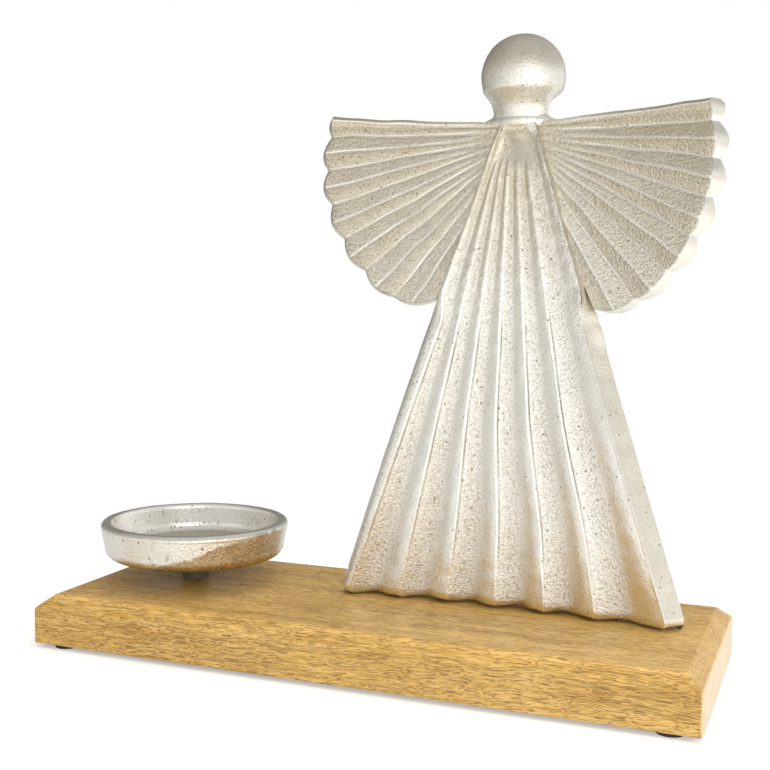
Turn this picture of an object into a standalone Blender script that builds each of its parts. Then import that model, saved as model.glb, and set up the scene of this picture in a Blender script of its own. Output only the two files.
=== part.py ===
"""Candle holder with a cast angel and a candle dish on a chamfered wood base.

Lengths are metres and angles are radians. X runs along the base, Z is up, and the front faces -Y.
The origin is on the ground under the middle of the base. The angel is one casting: a pleated dress,
two fan wings and a ball head. The dish is another casting, and screws from below hold both.
"""

import math

import bmesh
import bpy

# Clearances between pieces
SEAT_GAP = 0.0003
SCREW_CLEARANCE = 0.0003

# Wood base
BASE_LENGTH = 0.300
BASE_DEPTH = 0.115
BASE_THICKNESS = 0.022
CHAMFER_WIDTH = 0.0068
CHAMFER_HEIGHT = 0.0056
EASED_EDGE = 0.0006

# Foot pads, stuck under the corners
PAD_RADIUS = 0.0056
PAD_STANDOFF = 0.002
PAD_END_INSET = 0.0126
PAD_SIDE_INSET = 0.008
PAD_EDGE = 0.0004

# Screws, driven from below
SHANK_RADIUS = 0.002
SCREW_HEAD_RADIUS = 0.0040
SCREW_HEAD_THICKNESS = 0.0026
SCREW_DEPTH_IN_METAL = 0.009
COUNTERBORE_RADIUS = 0.0052
COUNTERBORE_DEPTH = 0.008
SCREW_POINT = 0.0012
SCREW_HEAD_ROUND = 0.0016
RECESS_WIDTH = 0.0011
RECESS_SPAN = 0.0042
RECESS_DEPTH = 0.0014

# Candle dish, heights from its foot
DISH_END_INSET = 0.0485
DISH_Y = 0.0047
DISH_RADIUS = 0.0454
DISH_RIM_HEIGHT = 0.0287
DISH_WALL = 0.0048
DISH_WALL_TAPER = 0.0036
DISH_BELLY_HEIGHT = 0.0111
DISH_BOTTOM_ROUND = 0.0045
DISH_FLOOR_HEIGHT = 0.0158
DISH_FLOOR_ROUND = 0.0030
RIM_ROUND = 0.0009
STEM_RADIUS = 0.0066
STEM_ROUND = 0.0016

# Angel: place on the base. The casting bows sideways towards the head, its middle plane curves
# forward towards its sides, more so at the wings, and its foot is turned a little on the base.
FIGURE_END_INSET = 0.0948
FIGURE_Y = 0.0140
SIDE_BOW = 0.0032
BEND_RADIUS_AT_FOOT = 0.5882
BEND_RADIUS_AT_WINGS = 0.2404
BEND_RISE = 0.140
FOOT_TURN = math.tan(math.radians(1.6))

# Dress, heights from its foot, depths from the casting's middle plane
DRESS_HEIGHT = 0.2145
DRESS_HALF_WIDTH = 0.0806
DRESS_TOP_HALF_WIDTH = 0.0097
DRESS_CORNER_ROUND = 0.0035
CORNER_ROUND_REACH = 0.94
FOOT_ROUND_SHARE = 0.4
FLANK_WIDTH = 0.0068
FLANK_WIDTH_AT_WINGS = 0.0026
FLANK_CHANGE_START = 0.126
FLANK_CHANGE_END = 0.144
PLEAT_PITCH = 0.0231
PLEAT_SHIFT = -0.0035
PLEAT_COUNT = 7
VALLEY_DEPTH = 0.0043
FRONT_PLEAT = 0.0055
BACK_PLEAT = 0.0025
EDGE_LAND = 0.0012
BIB_LENGTH = 0.0285
BIB_FADE = 0.0170

# Wings: a fan of lobes about a pole on the centre line, a little under the dress's top
POLE_DROP = 0.0065
ROOT_RADIUS = 0.006
SHOULDER_RISE = 0.0063
SHOULDER_FADE = 0.48
LOBE_COUNT = 7
TIP_ANGLE = math.radians(7.7)
TOP_LOBE_ANGLE = math.radians(6.1)
LOBE_ANGLE = math.radians(9.9)
LOBE_GROWTH = 1.035
WING_RADIUS = 0.0890
WING_RADIUS_FALL = 0.020
WING_LONGEST_ANGLE = math.radians(-40.0)
LEFT_LAST_LOBE_SHORT = 0.0085
RIGHT_LAST_LOBE_SHORT = 0.0045
LOBE_BULGE = 0.0025
LOBE_ARC = 1.1
WING_HALF_THICKNESS = 0.0032
FRONT_RIDGE = 0.0030
BACK_RIDGE = 0.0018
RIDGE_PLACE = 0.5
TOP_RIDGE_PLACE = 0.2
TOP_LOBE_START = 0.3
TIP_DRAFT = math.tan(math.radians(8.0))
LOBE_SAMPLES = 6
WING_ROWS = 6

# Head and neck
HEAD_OVER_DRESS = 0.0203
HEAD_BALL_RADIUS = 0.0184
HEAD_STEPS = 14
NECK_RADIUS = 0.0120
NECK_FLARE = 0.0010
NECK_START = math.radians(126.0)
NECK_LENGTH = 0.0055
NECK_ROOT_STRAIGHT = 0.0030
NECK_ROOT_LENGTH = 0.0085
NECK_ROOT_RADIUS = 0.0050

# Facets round a turned piece, a pad, and a hole or screw
ROUND_STEPS = 40
PAD_STEPS = 32
HOLE_STEPS = 24

# Places that follow from the sizes above: on the base, then over the ground, then over the dress's foot
DISH_X = DISH_END_INSET - BASE_LENGTH / 2
FIGURE_X = BASE_LENGTH / 2 - FIGURE_END_INSET
BASE_TOP = PAD_STANDOFF + BASE_THICKNESS
METAL_FOOT = BASE_TOP + SEAT_GAP
SCREW_SEAT = PAD_STANDOFF + COUNTERBORE_DEPTH
BIB_START = DRESS_HEIGHT - BIB_LENGTH
BIB_END = BIB_START + BIB_FADE
POLE_HEIGHT = DRESS_HEIGHT - POLE_DROP
HEAD_HEIGHT = DRESS_HEIGHT + HEAD_OVER_DRESS


def clear_scene():
    """Remove what the file already holds."""
    for item in list(bpy.data.objects):
        bpy.data.objects.remove(item, do_unlink=True)


def new_collection(name):
    collection = bpy.data.collections.new(name)
    bpy.context.scene.collection.children.link(collection)
    return collection


def principled(name, color, roughness, metallic):
    """A plain surface with one colour, roughness and metallic value."""
    material = bpy.data.materials.new(name)
    material.use_nodes = True
    shader = material.node_tree.nodes["Principled BSDF"]
    shader.inputs["Base Color"].default_value = (*color, 1.0)
    shader.inputs["Roughness"].default_value = roughness
    shader.inputs["Metallic"].default_value = metallic
    return material


def oiled_hardwood():
    return principled("oiled_hardwood", (0.56, 0.36, 0.15), 0.42, 0.0)


def cast_metal():
    return principled("champagne_cast_metal", (0.72, 0.68, 0.60), 0.36, 1.0)


def turned_metal():
    return principled("polished_cast_metal", (0.70, 0.66, 0.60), 0.24, 1.0)


def screw_steel():
    return principled("zinc_plated_steel", (0.60, 0.61, 0.62), 0.35, 1.0)


def black_rubber():
    return principled("black_rubber", (0.03, 0.03, 0.03), 0.80, 0.0)


def mesh_object(name, bm, collection=None, material=None):
    """Turn a bmesh into an object; a cutter is put in its group later."""
    mesh = bpy.data.meshes.new(name)
    bm.to_mesh(mesh)
    bm.free()
    item = bpy.data.objects.new(name, mesh)
    if collection is not None:
        collection.objects.link(item)
    if material is not None:
        mesh.materials.append(material)
    return item


def shade_round(item):
    """Smooth shading with the real corners kept sharp."""
    item.data.shade_smooth()
    item.data.set_sharp_from_angle(angle=math.radians(35.0))


def drill(name, radius, bottom, top, place):
    """A cutter for an upright hole between two heights at an (x, y) place."""
    bm = bmesh.new()
    bmesh.ops.create_cone(
        bm, cap_ends=True, segments=HOLE_STEPS, radius1=radius, radius2=radius, depth=top - bottom)
    item = mesh_object(name, bm)
    item.location = (place[0], place[1], (top + bottom) / 2)
    return item


def hide_guide(item):
    """A cutter or a joining shape isn't a piece of the object."""
    item.hide_render = True
    item.display_type = "WIRE"
    return item


def combine(item, name, shapes, operation):
    """Join a group of shapes to an item, or cut them from it, in one step."""
    group = bpy.data.collections.new(name)
    bpy.data.collections["cutters"].children.link(group)
    for shape in shapes:
        group.objects.link(hide_guide(shape))
    modifier = item.modifiers.new(name, "BOOLEAN")
    modifier.operation = operation
    modifier.solver = "EXACT"
    modifier.operand_type = "COLLECTION"
    modifier.collection = group


def turned(name, profile, place, collection, material, steps):
    """A turned piece: (radius, height) points from the top of the axis, down the outside."""
    mesh = bpy.data.meshes.new(name)
    points = [(radius, 0.0, height) for radius, height in profile]
    mesh.from_pydata(points, [(i, i + 1) for i in range(len(points) - 1)], [])
    mesh.materials.append(material)
    item = bpy.data.objects.new(name, mesh)
    if collection is not None:
        collection.objects.link(item)
    item.location = place
    screw = item.modifiers.new("turn", "SCREW")
    screw.axis = "Z"
    screw.angle = math.tau
    screw.steps = steps
    screw.render_steps = steps
    screw.use_merge_vertices = True
    screw.merge_threshold = 0.00001
    screw.use_smooth_shade = True
    return item


def arc(center, radius, start, end, steps):
    """Points of an arc in the (radius, height) plane; angles in degrees from +radius towards +height."""
    points = []
    for i in range(steps + 1):
        angle = math.radians(start + (end - start) * i / steps)
        points.append((center[0] + radius * math.cos(angle), center[1] + radius * math.sin(angle)))
    return points


def smooth_step(value, low, high):
    t = min(max((value - low) / (high - low), 0.0), 1.0)
    return t * t * (3 - 2 * t)


def bend(u, height):
    """How far forward the casting's middle plane lies at a distance u from the centre line."""
    rise = smooth_step(height, 0.0, BEND_RISE)
    curvature = (1 - rise) / BEND_RADIUS_AT_FOOT + rise / BEND_RADIUS_AT_WINGS
    return curvature * u * u / 2 + FOOT_TURN * (1 - rise) * u


def side_bow(height):
    """How far the centre line has bowed sideways, growing with the square of the height."""
    return SIDE_BOW * (height / HEAD_HEIGHT) ** 2


def figure_point(u, depth, height):
    """Place a point of the casting: u sideways, depth forward of the middle plane, height over the foot."""
    x = FIGURE_X + u + side_bow(height)
    y = FIGURE_Y - bend(u, height) - depth
    return (x, y, METAL_FOOT + height)


def dress_half_width(height):
    share = height / DRESS_HEIGHT
    return DRESS_HALF_WIDTH + (DRESS_TOP_HALF_WIDTH - DRESS_HALF_WIDTH) * share


def flank_width(height):
    """Ground flank beside the outer pleats, narrower where the wings leave the dress."""
    change = smooth_step(height, FLANK_CHANGE_START, FLANK_CHANGE_END)
    return FLANK_WIDTH + (FLANK_WIDTH_AT_WINGS - FLANK_WIDTH) * change


def pleat_crests(height):
    """Crests across the dress: the outer two beside the flanks, the others a pitch apart at the foot."""
    half = dress_half_width(height)
    scale = half / DRESS_HALF_WIDTH
    middle = (PLEAT_COUNT - 1) / 2
    inner = [scale * (PLEAT_SHIFT + PLEAT_PITCH * (i - middle)) for i in range(1, PLEAT_COUNT - 1)]
    outer = half - flank_width(height)
    return [-outer] + inner + [outer]


def pleat_creases(height):
    """Creases across the dress from left to right as (place, pleat share): 1 at crests, 0 at valleys."""
    crests = pleat_crests(height)
    creases = []
    for left, right in zip(crests[:-1], crests[1:]):
        creases.append((left, 1.0))
        creases.append(((left + right) / 2, 0.0))
    creases.append((crests[-1], 1.0))
    return creases


def spread(low, high, count):
    """Heights evenly spread above the low one, up to the high one."""
    return [low + (high - low) * (i + 1) / count for i in range(count)]


def dress_rows():
    """Heights of the dress's sections: close at the rounded foot, then spread to the neck."""
    rows = [0.0, DRESS_CORNER_ROUND / 3, DRESS_CORNER_ROUND]
    rows += spread(DRESS_CORNER_ROUND, FLANK_CHANGE_START, 6)
    rows += spread(FLANK_CHANGE_START, FLANK_CHANGE_END, 2)
    rows += spread(FLANK_CHANGE_END, BIB_START, 2)
    rows += spread(BIB_START, BIB_END, 3)
    return rows + [DRESS_HEIGHT]


def corner_inset(height):
    """How far the rounded lower corner stands in from the dress's side."""
    if height >= DRESS_CORNER_ROUND:
        return 0.0
    rise = (DRESS_CORNER_ROUND - height) * CORNER_ROUND_REACH
    return DRESS_CORNER_ROUND - math.sqrt(DRESS_CORNER_ROUND ** 2 - rise ** 2)


def dress_section(height):
    """One closed ring round the dress: across the front from left to right, and back across the rear."""
    inset = corner_inset(height)
    half = dress_half_width(height) - inset
    narrowing = half / dress_half_width(height)
    foot_round = inset * FOOT_ROUND_SHARE
    relief = dress_half_width(height) / DRESS_HALF_WIDTH * (1 - smooth_step(height, BIB_START, BIB_END))
    front = [(-half, EDGE_LAND / 2)]
    back = [(half, -EDGE_LAND / 2)]
    for place, share in pleat_creases(height):
        front.append((place * narrowing, VALLEY_DEPTH + FRONT_PLEAT * relief * share - foot_round))
    for place, share in reversed(pleat_creases(height)):
        back.append((place * narrowing, -VALLEY_DEPTH - BACK_PLEAT * relief * share + foot_round))
    front.append((half, EDGE_LAND / 2))
    back.append((-half, -EDGE_LAND / 2))
    return [figure_point(u, depth, height) for u, depth in front + back]


def loft(name, rings, collection=None, material=None):
    """Skin closed rings of equal count, listed from the bottom up, and cap both ends."""
    bm = bmesh.new()
    layers = [[bm.verts.new(point) for point in ring] for ring in rings]
    count = len(layers[0])
    for lower, upper in zip(layers[:-1], layers[1:]):
        for i in range(count):
            j = (i + 1) % count
            bm.faces.new((lower[i], lower[j], upper[j], upper[i]))
    bm.faces.new(list(reversed(layers[0])))
    bm.faces.new(layers[-1])
    bmesh.ops.triangulate(bm, faces=bm.faces[:])
    bmesh.ops.recalc_face_normals(bm, faces=bm.faces[:])
    return mesh_object(name, bm, collection, material)


def lobe_bounds():
    """Fan angles of the notches, from the wing's straight top edge down to the dress."""
    angles = [TIP_ANGLE, TIP_ANGLE - TOP_LOBE_ANGLE]
    step = LOBE_ANGLE
    for _ in range(LOBE_COUNT - 1):
        angles.append(angles[-1] - step)
        step *= LOBE_GROWTH
    return angles


def wing_creases():
    """Lines of the fan: (position counted in lobes, angle, bulge share, ridge share)."""
    bounds = lobe_bounds()
    creases = []
    for lobe in range(LOBE_COUNT):
        ridge_place = TOP_RIDGE_PLACE if lobe == 0 else RIDGE_PLACE
        for i in range(LOBE_SAMPLES):
            share = i / LOBE_SAMPLES
            if lobe == 0 and i == 1:
                share = TOP_RIDGE_PLACE
            angle = bounds[lobe] + (bounds[lobe + 1] - bounds[lobe]) * share
            along = TOP_LOBE_START + (1 - TOP_LOBE_START) * share if lobe == 0 else share
            bulge = (math.cos(LOBE_ARC * (2 * along - 1)) - math.cos(LOBE_ARC)) / (1 - math.cos(LOBE_ARC))
            ridge = share / ridge_place if share <= ridge_place else (1 - share) / (1 - ridge_place)
            creases.append((lobe + share, angle, bulge, ridge))
    creases.append((LOBE_COUNT, bounds[-1], 0.0, 0.0))
    return creases


def rim_radius(position, angle, bulge, side):
    """Distance of the scalloped rim from the pole; each wing's last lobe is cast short."""
    radius = WING_RADIUS - WING_RADIUS_FALL * (1 - math.cos(angle - WING_LONGEST_ANGLE))
    short = LEFT_LAST_LOBE_SHORT if side < 0 else RIGHT_LAST_LOBE_SHORT
    radius -= short * max(position - (LOBE_COUNT - 1), 0)
    return radius + LOBE_BULGE * bulge


def wing_line(position, angle, bulge, side):
    """Root and rim of one fan line in (u, height over the foot), and the fan's direction there."""
    direction = (math.cos(angle), math.sin(angle))
    shoulder = SHOULDER_RISE * SHOULDER_FADE ** position
    root = (ROOT_RADIUS * direction[0], POLE_HEIGHT + shoulder + ROOT_RADIUS * direction[1])
    radius = rim_radius(position, angle, bulge, side)
    rim = (radius * direction[0], POLE_HEIGHT + radius * direction[1])
    return root, rim, direction


def wing_section(crease, side):
    """One ring round a fan line: out along the front face to the rim, and home along the back."""
    position, angle, bulge, ridge = crease
    root, rim, direction = wing_line(position, angle, bulge, side)
    front = []
    back = []
    for row in range(WING_ROWS + 1):
        share = row / WING_ROWS
        for points, sign, relief in ((front, 1, FRONT_RIDGE), (back, -1, BACK_RIDGE)):
            thickness = WING_HALF_THICKNESS + relief * ridge * share
            draft = -sign * TIP_DRAFT * thickness
            end = (rim[0] + draft * direction[0], rim[1] + draft * direction[1])
            u = root[0] + (end[0] - root[0]) * share
            height = root[1] + (end[1] - root[1]) * share
            slope = 2 * bend(u, height) / u
            length = math.hypot(1.0, slope)
            points.append(figure_point(side * (u - sign * thickness * slope / length), 0.0, height))
            x, y, z = points[-1]
            points[-1] = (x, FIGURE_Y - bend(u, height) - sign * thickness / length, z)
    return front + back[::-1]


def build_wing(side):
    name = "wing_left" if side < 0 else "wing_right"
    return loft(name, [wing_section(crease, side) for crease in wing_creases()])


def build_head(material):
    """Ball head on a short neck whose tapered root sinks into the dress."""
    bottom = math.cos(NECK_START) * HEAD_BALL_RADIUS
    profile = arc((0.0, 0.0), HEAD_BALL_RADIUS, 90.0, 90.0 - math.degrees(NECK_START), HEAD_STEPS)
    profile[0] = (0.0, HEAD_BALL_RADIUS)
    root_top = bottom - NECK_LENGTH
    profile += [(NECK_RADIUS + NECK_FLARE, bottom - NECK_LENGTH / 2), (NECK_RADIUS, root_top)]
    profile += [(NECK_RADIUS, root_top - NECK_ROOT_STRAIGHT)]
    profile += [(NECK_ROOT_RADIUS, root_top - NECK_ROOT_LENGTH), (0.0, root_top - NECK_ROOT_LENGTH)]
    place = figure_point(0.0, 0.0, HEAD_HEIGHT)
    return turned("head", profile, place, None, material, ROUND_STEPS)


def figure_screw_places():
    """Screws sit under the second pleat from each side, in the middle of the casting's thickness."""
    places = []
    crests = pleat_crests(0.0)
    for u in (crests[1], crests[-2]):
        x, y, _ = figure_point(u, (FRONT_PLEAT - BACK_PLEAT) / 2, 0.0)
        places.append((x, y))
    return places


def screw_hole(name, place):
    """A blind hole up into a casting's foot for its screw."""
    top = METAL_FOOT + SCREW_DEPTH_IN_METAL + SCREW_CLEARANCE
    return drill(name, SHANK_RADIUS + SCREW_CLEARANCE, METAL_FOOT - SCREW_DEPTH_IN_METAL, top, place)


def build_angel(parts):
    """The whole figure is one casting: dress, wings and head joined."""
    material = cast_metal()
    rings = [dress_section(height) for height in dress_rows()]
    angel = loft("angel_figure", rings, parts, material)
    combine(angel, "wings_and_head", [build_wing(-1), build_wing(1), build_head(material)], "UNION")
    holes = [screw_hole(f"figure_hole_{i}", place) for i, place in enumerate(figure_screw_places())]
    combine(angel, "figure_holes", holes, "DIFFERENCE")
    shade_round(angel)


def build_dish(parts):
    """Turned profile: floor, inner wall, rim, outer wall, rounded belly and the stem under it."""
    inner = DISH_RADIUS - DISH_WALL
    floor_edge = inner - DISH_WALL_TAPER
    profile = [(0.0, DISH_FLOOR_HEIGHT)]
    center = (floor_edge - DISH_FLOOR_ROUND, DISH_FLOOR_HEIGHT + DISH_FLOOR_ROUND)
    profile += arc(center, DISH_FLOOR_ROUND, -90.0, 0.0, 3)
    profile += arc((inner + RIM_ROUND, DISH_RIM_HEIGHT - RIM_ROUND), RIM_ROUND, 180.0, 90.0, 2)
    profile += arc((DISH_RADIUS - RIM_ROUND, DISH_RIM_HEIGHT - RIM_ROUND), RIM_ROUND, 90.0, 0.0, 2)
    belly = (DISH_RADIUS - DISH_WALL_TAPER - DISH_BOTTOM_ROUND, DISH_BELLY_HEIGHT + DISH_BOTTOM_ROUND)
    profile += arc(belly, DISH_BOTTOM_ROUND, 0.0, -90.0, 5)
    profile += arc((STEM_RADIUS + STEM_ROUND, DISH_BELLY_HEIGHT - STEM_ROUND), STEM_ROUND, 90.0, 180.0, 3)
    profile += [(STEM_RADIUS, 0.0), (0.0, 0.0)]
    place = (DISH_X, DISH_Y, METAL_FOOT)
    dish = turned("candle_dish", profile, place, parts, turned_metal(), ROUND_STEPS)
    combine(dish, "dish_hole", [screw_hole("stem_hole", (DISH_X, DISH_Y))], "DIFFERENCE")


def build_base(parts):
    """Board with a chamfer round its top, eased edges and counterbored holes from below."""
    bm = bmesh.new()
    bmesh.ops.create_cube(bm, size=1.0)
    side_height = BASE_THICKNESS - CHAMFER_HEIGHT
    bmesh.ops.scale(bm, vec=(BASE_LENGTH, BASE_DEPTH, side_height), verts=bm.verts[:])
    bmesh.ops.translate(bm, vec=(0.0, 0.0, PAD_STANDOFF + side_height / 2), verts=bm.verts[:])
    top = max(bm.faces, key=lambda face: face.calc_center_median().z)
    raised = bmesh.ops.extrude_face_region(bm, geom=[top])
    bmesh.ops.delete(bm, geom=[top], context="FACES_ONLY")
    corners = [part for part in raised["geom"] if isinstance(part, bmesh.types.BMVert)]
    bmesh.ops.translate(bm, vec=(0.0, 0.0, CHAMFER_HEIGHT), verts=corners)
    shrink = (1 - 2 * CHAMFER_WIDTH / BASE_LENGTH, 1 - 2 * CHAMFER_WIDTH / BASE_DEPTH, 1.0)
    bmesh.ops.scale(bm, vec=shrink, verts=corners)
    base = mesh_object("wood_base", bm, parts, oiled_hardwood())
    eased = base.modifiers.new("eased_edges", "BEVEL")
    eased.width = EASED_EDGE
    eased.segments = 2
    holes = []
    for i, place in enumerate([(DISH_X, DISH_Y)] + figure_screw_places()):
        holes.append(drill(f"base_hole_{i}", SHANK_RADIUS + SCREW_CLEARANCE, 0.0, BASE_TOP + SEAT_GAP, place))
        holes.append(drill(f"counterbore_{i}", COUNTERBORE_RADIUS, 0.0, SCREW_SEAT, place))
    combine(base, "base_holes", holes, "DIFFERENCE")


def build_screw(name, place, parts, material):
    """Pan-head screw, head down in the counterbore, with a cross recess in its head."""
    head_top = SCREW_SEAT - SEAT_GAP
    head_bottom = head_top - SCREW_HEAD_THICKNESS
    tip = METAL_FOOT + SCREW_DEPTH_IN_METAL
    profile = [(0.0, tip), (SHANK_RADIUS - SCREW_POINT / 2, tip), (SHANK_RADIUS, tip - SCREW_POINT)]
    profile += [(SHANK_RADIUS, head_top), (SCREW_HEAD_RADIUS, head_top)]
    head_edge = (SCREW_HEAD_RADIUS - SCREW_HEAD_ROUND, head_bottom + SCREW_HEAD_ROUND)
    profile += arc(head_edge, SCREW_HEAD_ROUND, 0.0, -90.0, 3)
    profile += [(0.0, head_bottom)]
    screw = turned(name, profile, (place[0], place[1], 0.0), parts, material, HOLE_STEPS)
    slots = []
    for axis, size in (("x", (RECESS_SPAN, RECESS_WIDTH)), ("y", (RECESS_WIDTH, RECESS_SPAN))):
        bm = bmesh.new()
        bmesh.ops.create_cube(bm, size=1.0)
        bmesh.ops.scale(bm, vec=(*size, 2 * RECESS_DEPTH), verts=bm.verts[:])
        slot = mesh_object(f"{name}_slot_{axis}", bm)
        slot.location = (place[0], place[1], head_bottom)
        slots.append(slot)
    combine(screw, f"{name}_recess", slots, "DIFFERENCE")


def build_pads(parts, material):
    """Four thin round pads, one under each corner."""
    pad_x = BASE_LENGTH / 2 - PAD_END_INSET
    pad_y = BASE_DEPTH / 2 - PAD_SIDE_INSET
    top = PAD_STANDOFF - SEAT_GAP
    profile = [(0.0, top), (PAD_RADIUS - PAD_EDGE, top), (PAD_RADIUS, top - PAD_EDGE)]
    profile += [(PAD_RADIUS, 0.0), (0.0, 0.0)]
    for row, y in (("front", -pad_y), ("back", pad_y)):
        for side, x in (("left", -pad_x), ("right", pad_x)):
            turned(f"foot_pad_{row}_{side}", profile, (x, y, 0.0), parts, material, PAD_STEPS)


def main():
    clear_scene()
    parts = new_collection("angel_candle_holder")
    new_collection("cutters")
    build_base(parts)
    build_dish(parts)
    build_angel(parts)
    steel = screw_steel()
    build_screw("dish_screw", (DISH_X, DISH_Y), parts, steel)
    for side, place in zip(("left", "right"), figure_screw_places()):
        build_screw(f"figure_screw_{side}", place, parts, steel)
    build_pads(parts, black_rubber())


main()
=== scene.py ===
# %% [markdown]
# # Angel candle holder
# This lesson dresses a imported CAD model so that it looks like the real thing: a sand-cast metal
# angel and a turned metal candle dish on a chamfered hardwood base. The CAD gives sizes and
# places. Here each casting gets a finer surface, worked out with numpy, and every piece a finish
# built from shader nodes. Lengths are metres, X runs along the base, Z is up and the front faces -Y.

# %% Load the frame
import math
from types import SimpleNamespace

import bpy
import numpy as np
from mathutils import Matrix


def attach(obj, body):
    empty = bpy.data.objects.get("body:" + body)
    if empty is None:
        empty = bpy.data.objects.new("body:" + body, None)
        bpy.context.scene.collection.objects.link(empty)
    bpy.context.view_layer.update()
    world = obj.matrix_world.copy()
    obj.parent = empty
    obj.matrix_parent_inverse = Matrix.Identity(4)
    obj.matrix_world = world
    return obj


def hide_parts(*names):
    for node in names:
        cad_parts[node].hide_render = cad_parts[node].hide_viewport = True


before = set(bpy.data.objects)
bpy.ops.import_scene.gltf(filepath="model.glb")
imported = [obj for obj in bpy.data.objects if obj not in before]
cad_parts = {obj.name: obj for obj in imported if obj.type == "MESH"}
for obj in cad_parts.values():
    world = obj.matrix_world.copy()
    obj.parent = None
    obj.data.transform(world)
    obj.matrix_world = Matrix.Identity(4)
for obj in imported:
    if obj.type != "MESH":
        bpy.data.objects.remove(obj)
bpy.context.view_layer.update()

# %% [markdown]
# ## Camera
# The camera stands where the picture was taken from. Its place and turn were solved from the
# straight edges of the wood base, so lines in the render fall on the lines of the picture. The view's
# three axes go straight into the camera's matrix: right, up, and back towards the viewer.

# %% Camera
CAMERA_PLACE = np.array([0.19519, -0.49118, 0.16489])
CAMERA_TURN = math.radians(21.645)
CAMERA_DIP = math.radians(4.510)
CAMERA_ROLL = math.radians(0.537)
LENS_MM = 54.77
SENSOR_MM = 36.0
CLIP_START = 0.01


def camera_axes(turn, dip, roll):
    """Forward from the turn about Z and the dip below level; right and up are rolled about forward."""
    forward = np.array([-math.sin(turn) * math.cos(dip), math.cos(turn) * math.cos(dip), -math.sin(dip)])
    level = np.array([math.cos(turn), math.sin(turn), 0.0])
    upright = np.cross(level, forward)
    right = level * math.cos(roll) + upright * math.sin(roll)
    up = upright * math.cos(roll) - level * math.sin(roll)
    return right, up, forward


def make_camera():
    """A camera whose matrix holds its three axes as columns, and its place as the fourth."""
    camera = bpy.data.objects.new("camera", bpy.data.cameras.new("camera"))
    bpy.context.scene.collection.objects.link(camera)
    right, up, forward = camera_axes(CAMERA_TURN, CAMERA_DIP, CAMERA_ROLL)
    matrix = np.eye(4)
    matrix[:3, 0] = right
    matrix[:3, 1] = up
    matrix[:3, 2] = -forward
    matrix[:3, 3] = CAMERA_PLACE
    camera.matrix_world = matrix.T.tolist()
    camera.data.sensor_width = SENSOR_MM
    camera.data.lens = LENS_MM
    camera.data.clip_start = CLIP_START
    bpy.context.scene.camera = camera


make_camera()
print("camera at", CAMERA_PLACE, "lens", LENS_MM, "mm")

# %% [markdown]
# ## Helpers for surfaces
# Every new piece is a grid of points: rows one way, columns the other. One helper makes the quads
# between neighbours, and one puts points, faces and per-point values into a mesh. Whole arrays go
# in at once, which is much faster than a loop over vertices.

# %% Grid and mesh helpers
SHARP_ANGLE = math.radians(38.0)


def grid_quads(rows, columns, wrap=False, first=0):
    """Quads between neighbouring rows and columns; with wrap the last column meets the first."""
    r = np.arange(rows - 1)[:, None] * columns
    c = np.arange(columns if wrap else columns - 1)[None, :]
    n = (c + 1) % columns
    quads = np.stack([r + c, r + n, r + columns + n, r + columns + c], axis=-1)
    return quads.reshape(-1, 4) + first


def make_piece(name, points, quads, material, values=None, triangles=None):
    """A mesh object at the origin from an (n, 3) array, with a float attribute for each named value."""
    faces = quads.tolist() + ([] if triangles is None else triangles.tolist())
    mesh = bpy.data.meshes.new(name)
    mesh.from_pydata(points.tolist(), [], faces)
    for key, numbers in (values or {}).items():
        attribute = mesh.attributes.new(key, "FLOAT", "POINT")
        attribute.data.foreach_set("value", numbers.astype(np.float32).ravel())
    mesh.materials.append(material)
    mesh.shade_smooth()
    mesh.set_sharp_from_angle(angle=SHARP_ANGLE)
    piece = bpy.data.objects.new(name, mesh)
    bpy.context.scene.collection.objects.link(piece)
    print(name, len(points), "points,", sum(len(f) - 2 for f in faces), "triangles")
    return piece


print("a grid of 3 by 4 points has", len(grid_quads(3, 4)), "quads")

# %% [markdown]
# ## Cast unevenness
# A sand casting is never quite true: its faces swell and dip by a few tenths of a millimetre.
# Lattice noise gives that. Random numbers sit on a cubic lattice, and each point blends its eight
# nearest with a smooth weight, so the same seed always gives the same casting.

# %% Lattice noise
LATTICE_CELLS = 32


def lattice_noise(points, size, seed):
    """Smooth noise from -1 to 1 at (..., 3) points, with bumps about one size across."""
    table = np.random.default_rng(seed).uniform(-1.0, 1.0, (LATTICE_CELLS,) * 3)
    place = points / size
    cell = np.floor(place).astype(int)
    part = place - cell
    weight = part * part * (3 - 2 * part)
    total = np.zeros(points.shape[:-1])
    for corner in range(8):
        step = np.array([corner & 1, corner >> 1 & 1, corner >> 2 & 1])
        share = np.where(step == 1, weight, 1 - weight).prod(axis=-1)
        index = (cell + step) % LATTICE_CELLS
        total += share * table[index[..., 0], index[..., 1], index[..., 2]]
    return total


def smooth_step(value, low, high):
    """0 below low, 1 above high, and an S-shaped rise between."""
    t = np.clip((value - low) / (high - low), 0.0, 1.0)
    return t * t * (3 - 2 * t)


def eased_ramp(value, radius):
    """A straight ramp from 0 to 1 with both ends rounded off over the given radius."""
    low = np.sqrt(value ** 2 + radius ** 2)
    high = np.sqrt((1 - value) ** 2 + radius ** 2)
    span = math.sqrt(1 + radius ** 2) - radius
    return 0.5 + 0.5 * (low - high) / span


print("noise at three places:", np.round(lattice_noise(np.eye(3) / 2, 1.0, 3), 2))

# %% [markdown]
# ## The casting's own coordinates
# The figure isn't flat. Its middle plane bows forward towards the sides, like a sheet bent over a
# large drum, and its centre line leans a little sideways towards the head. So every form is worked
# out in three plain numbers: u across, depth forward of the middle plane, and height over the foot.
# One function then bends them into place, with the same sizes as the CAD model.

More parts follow.
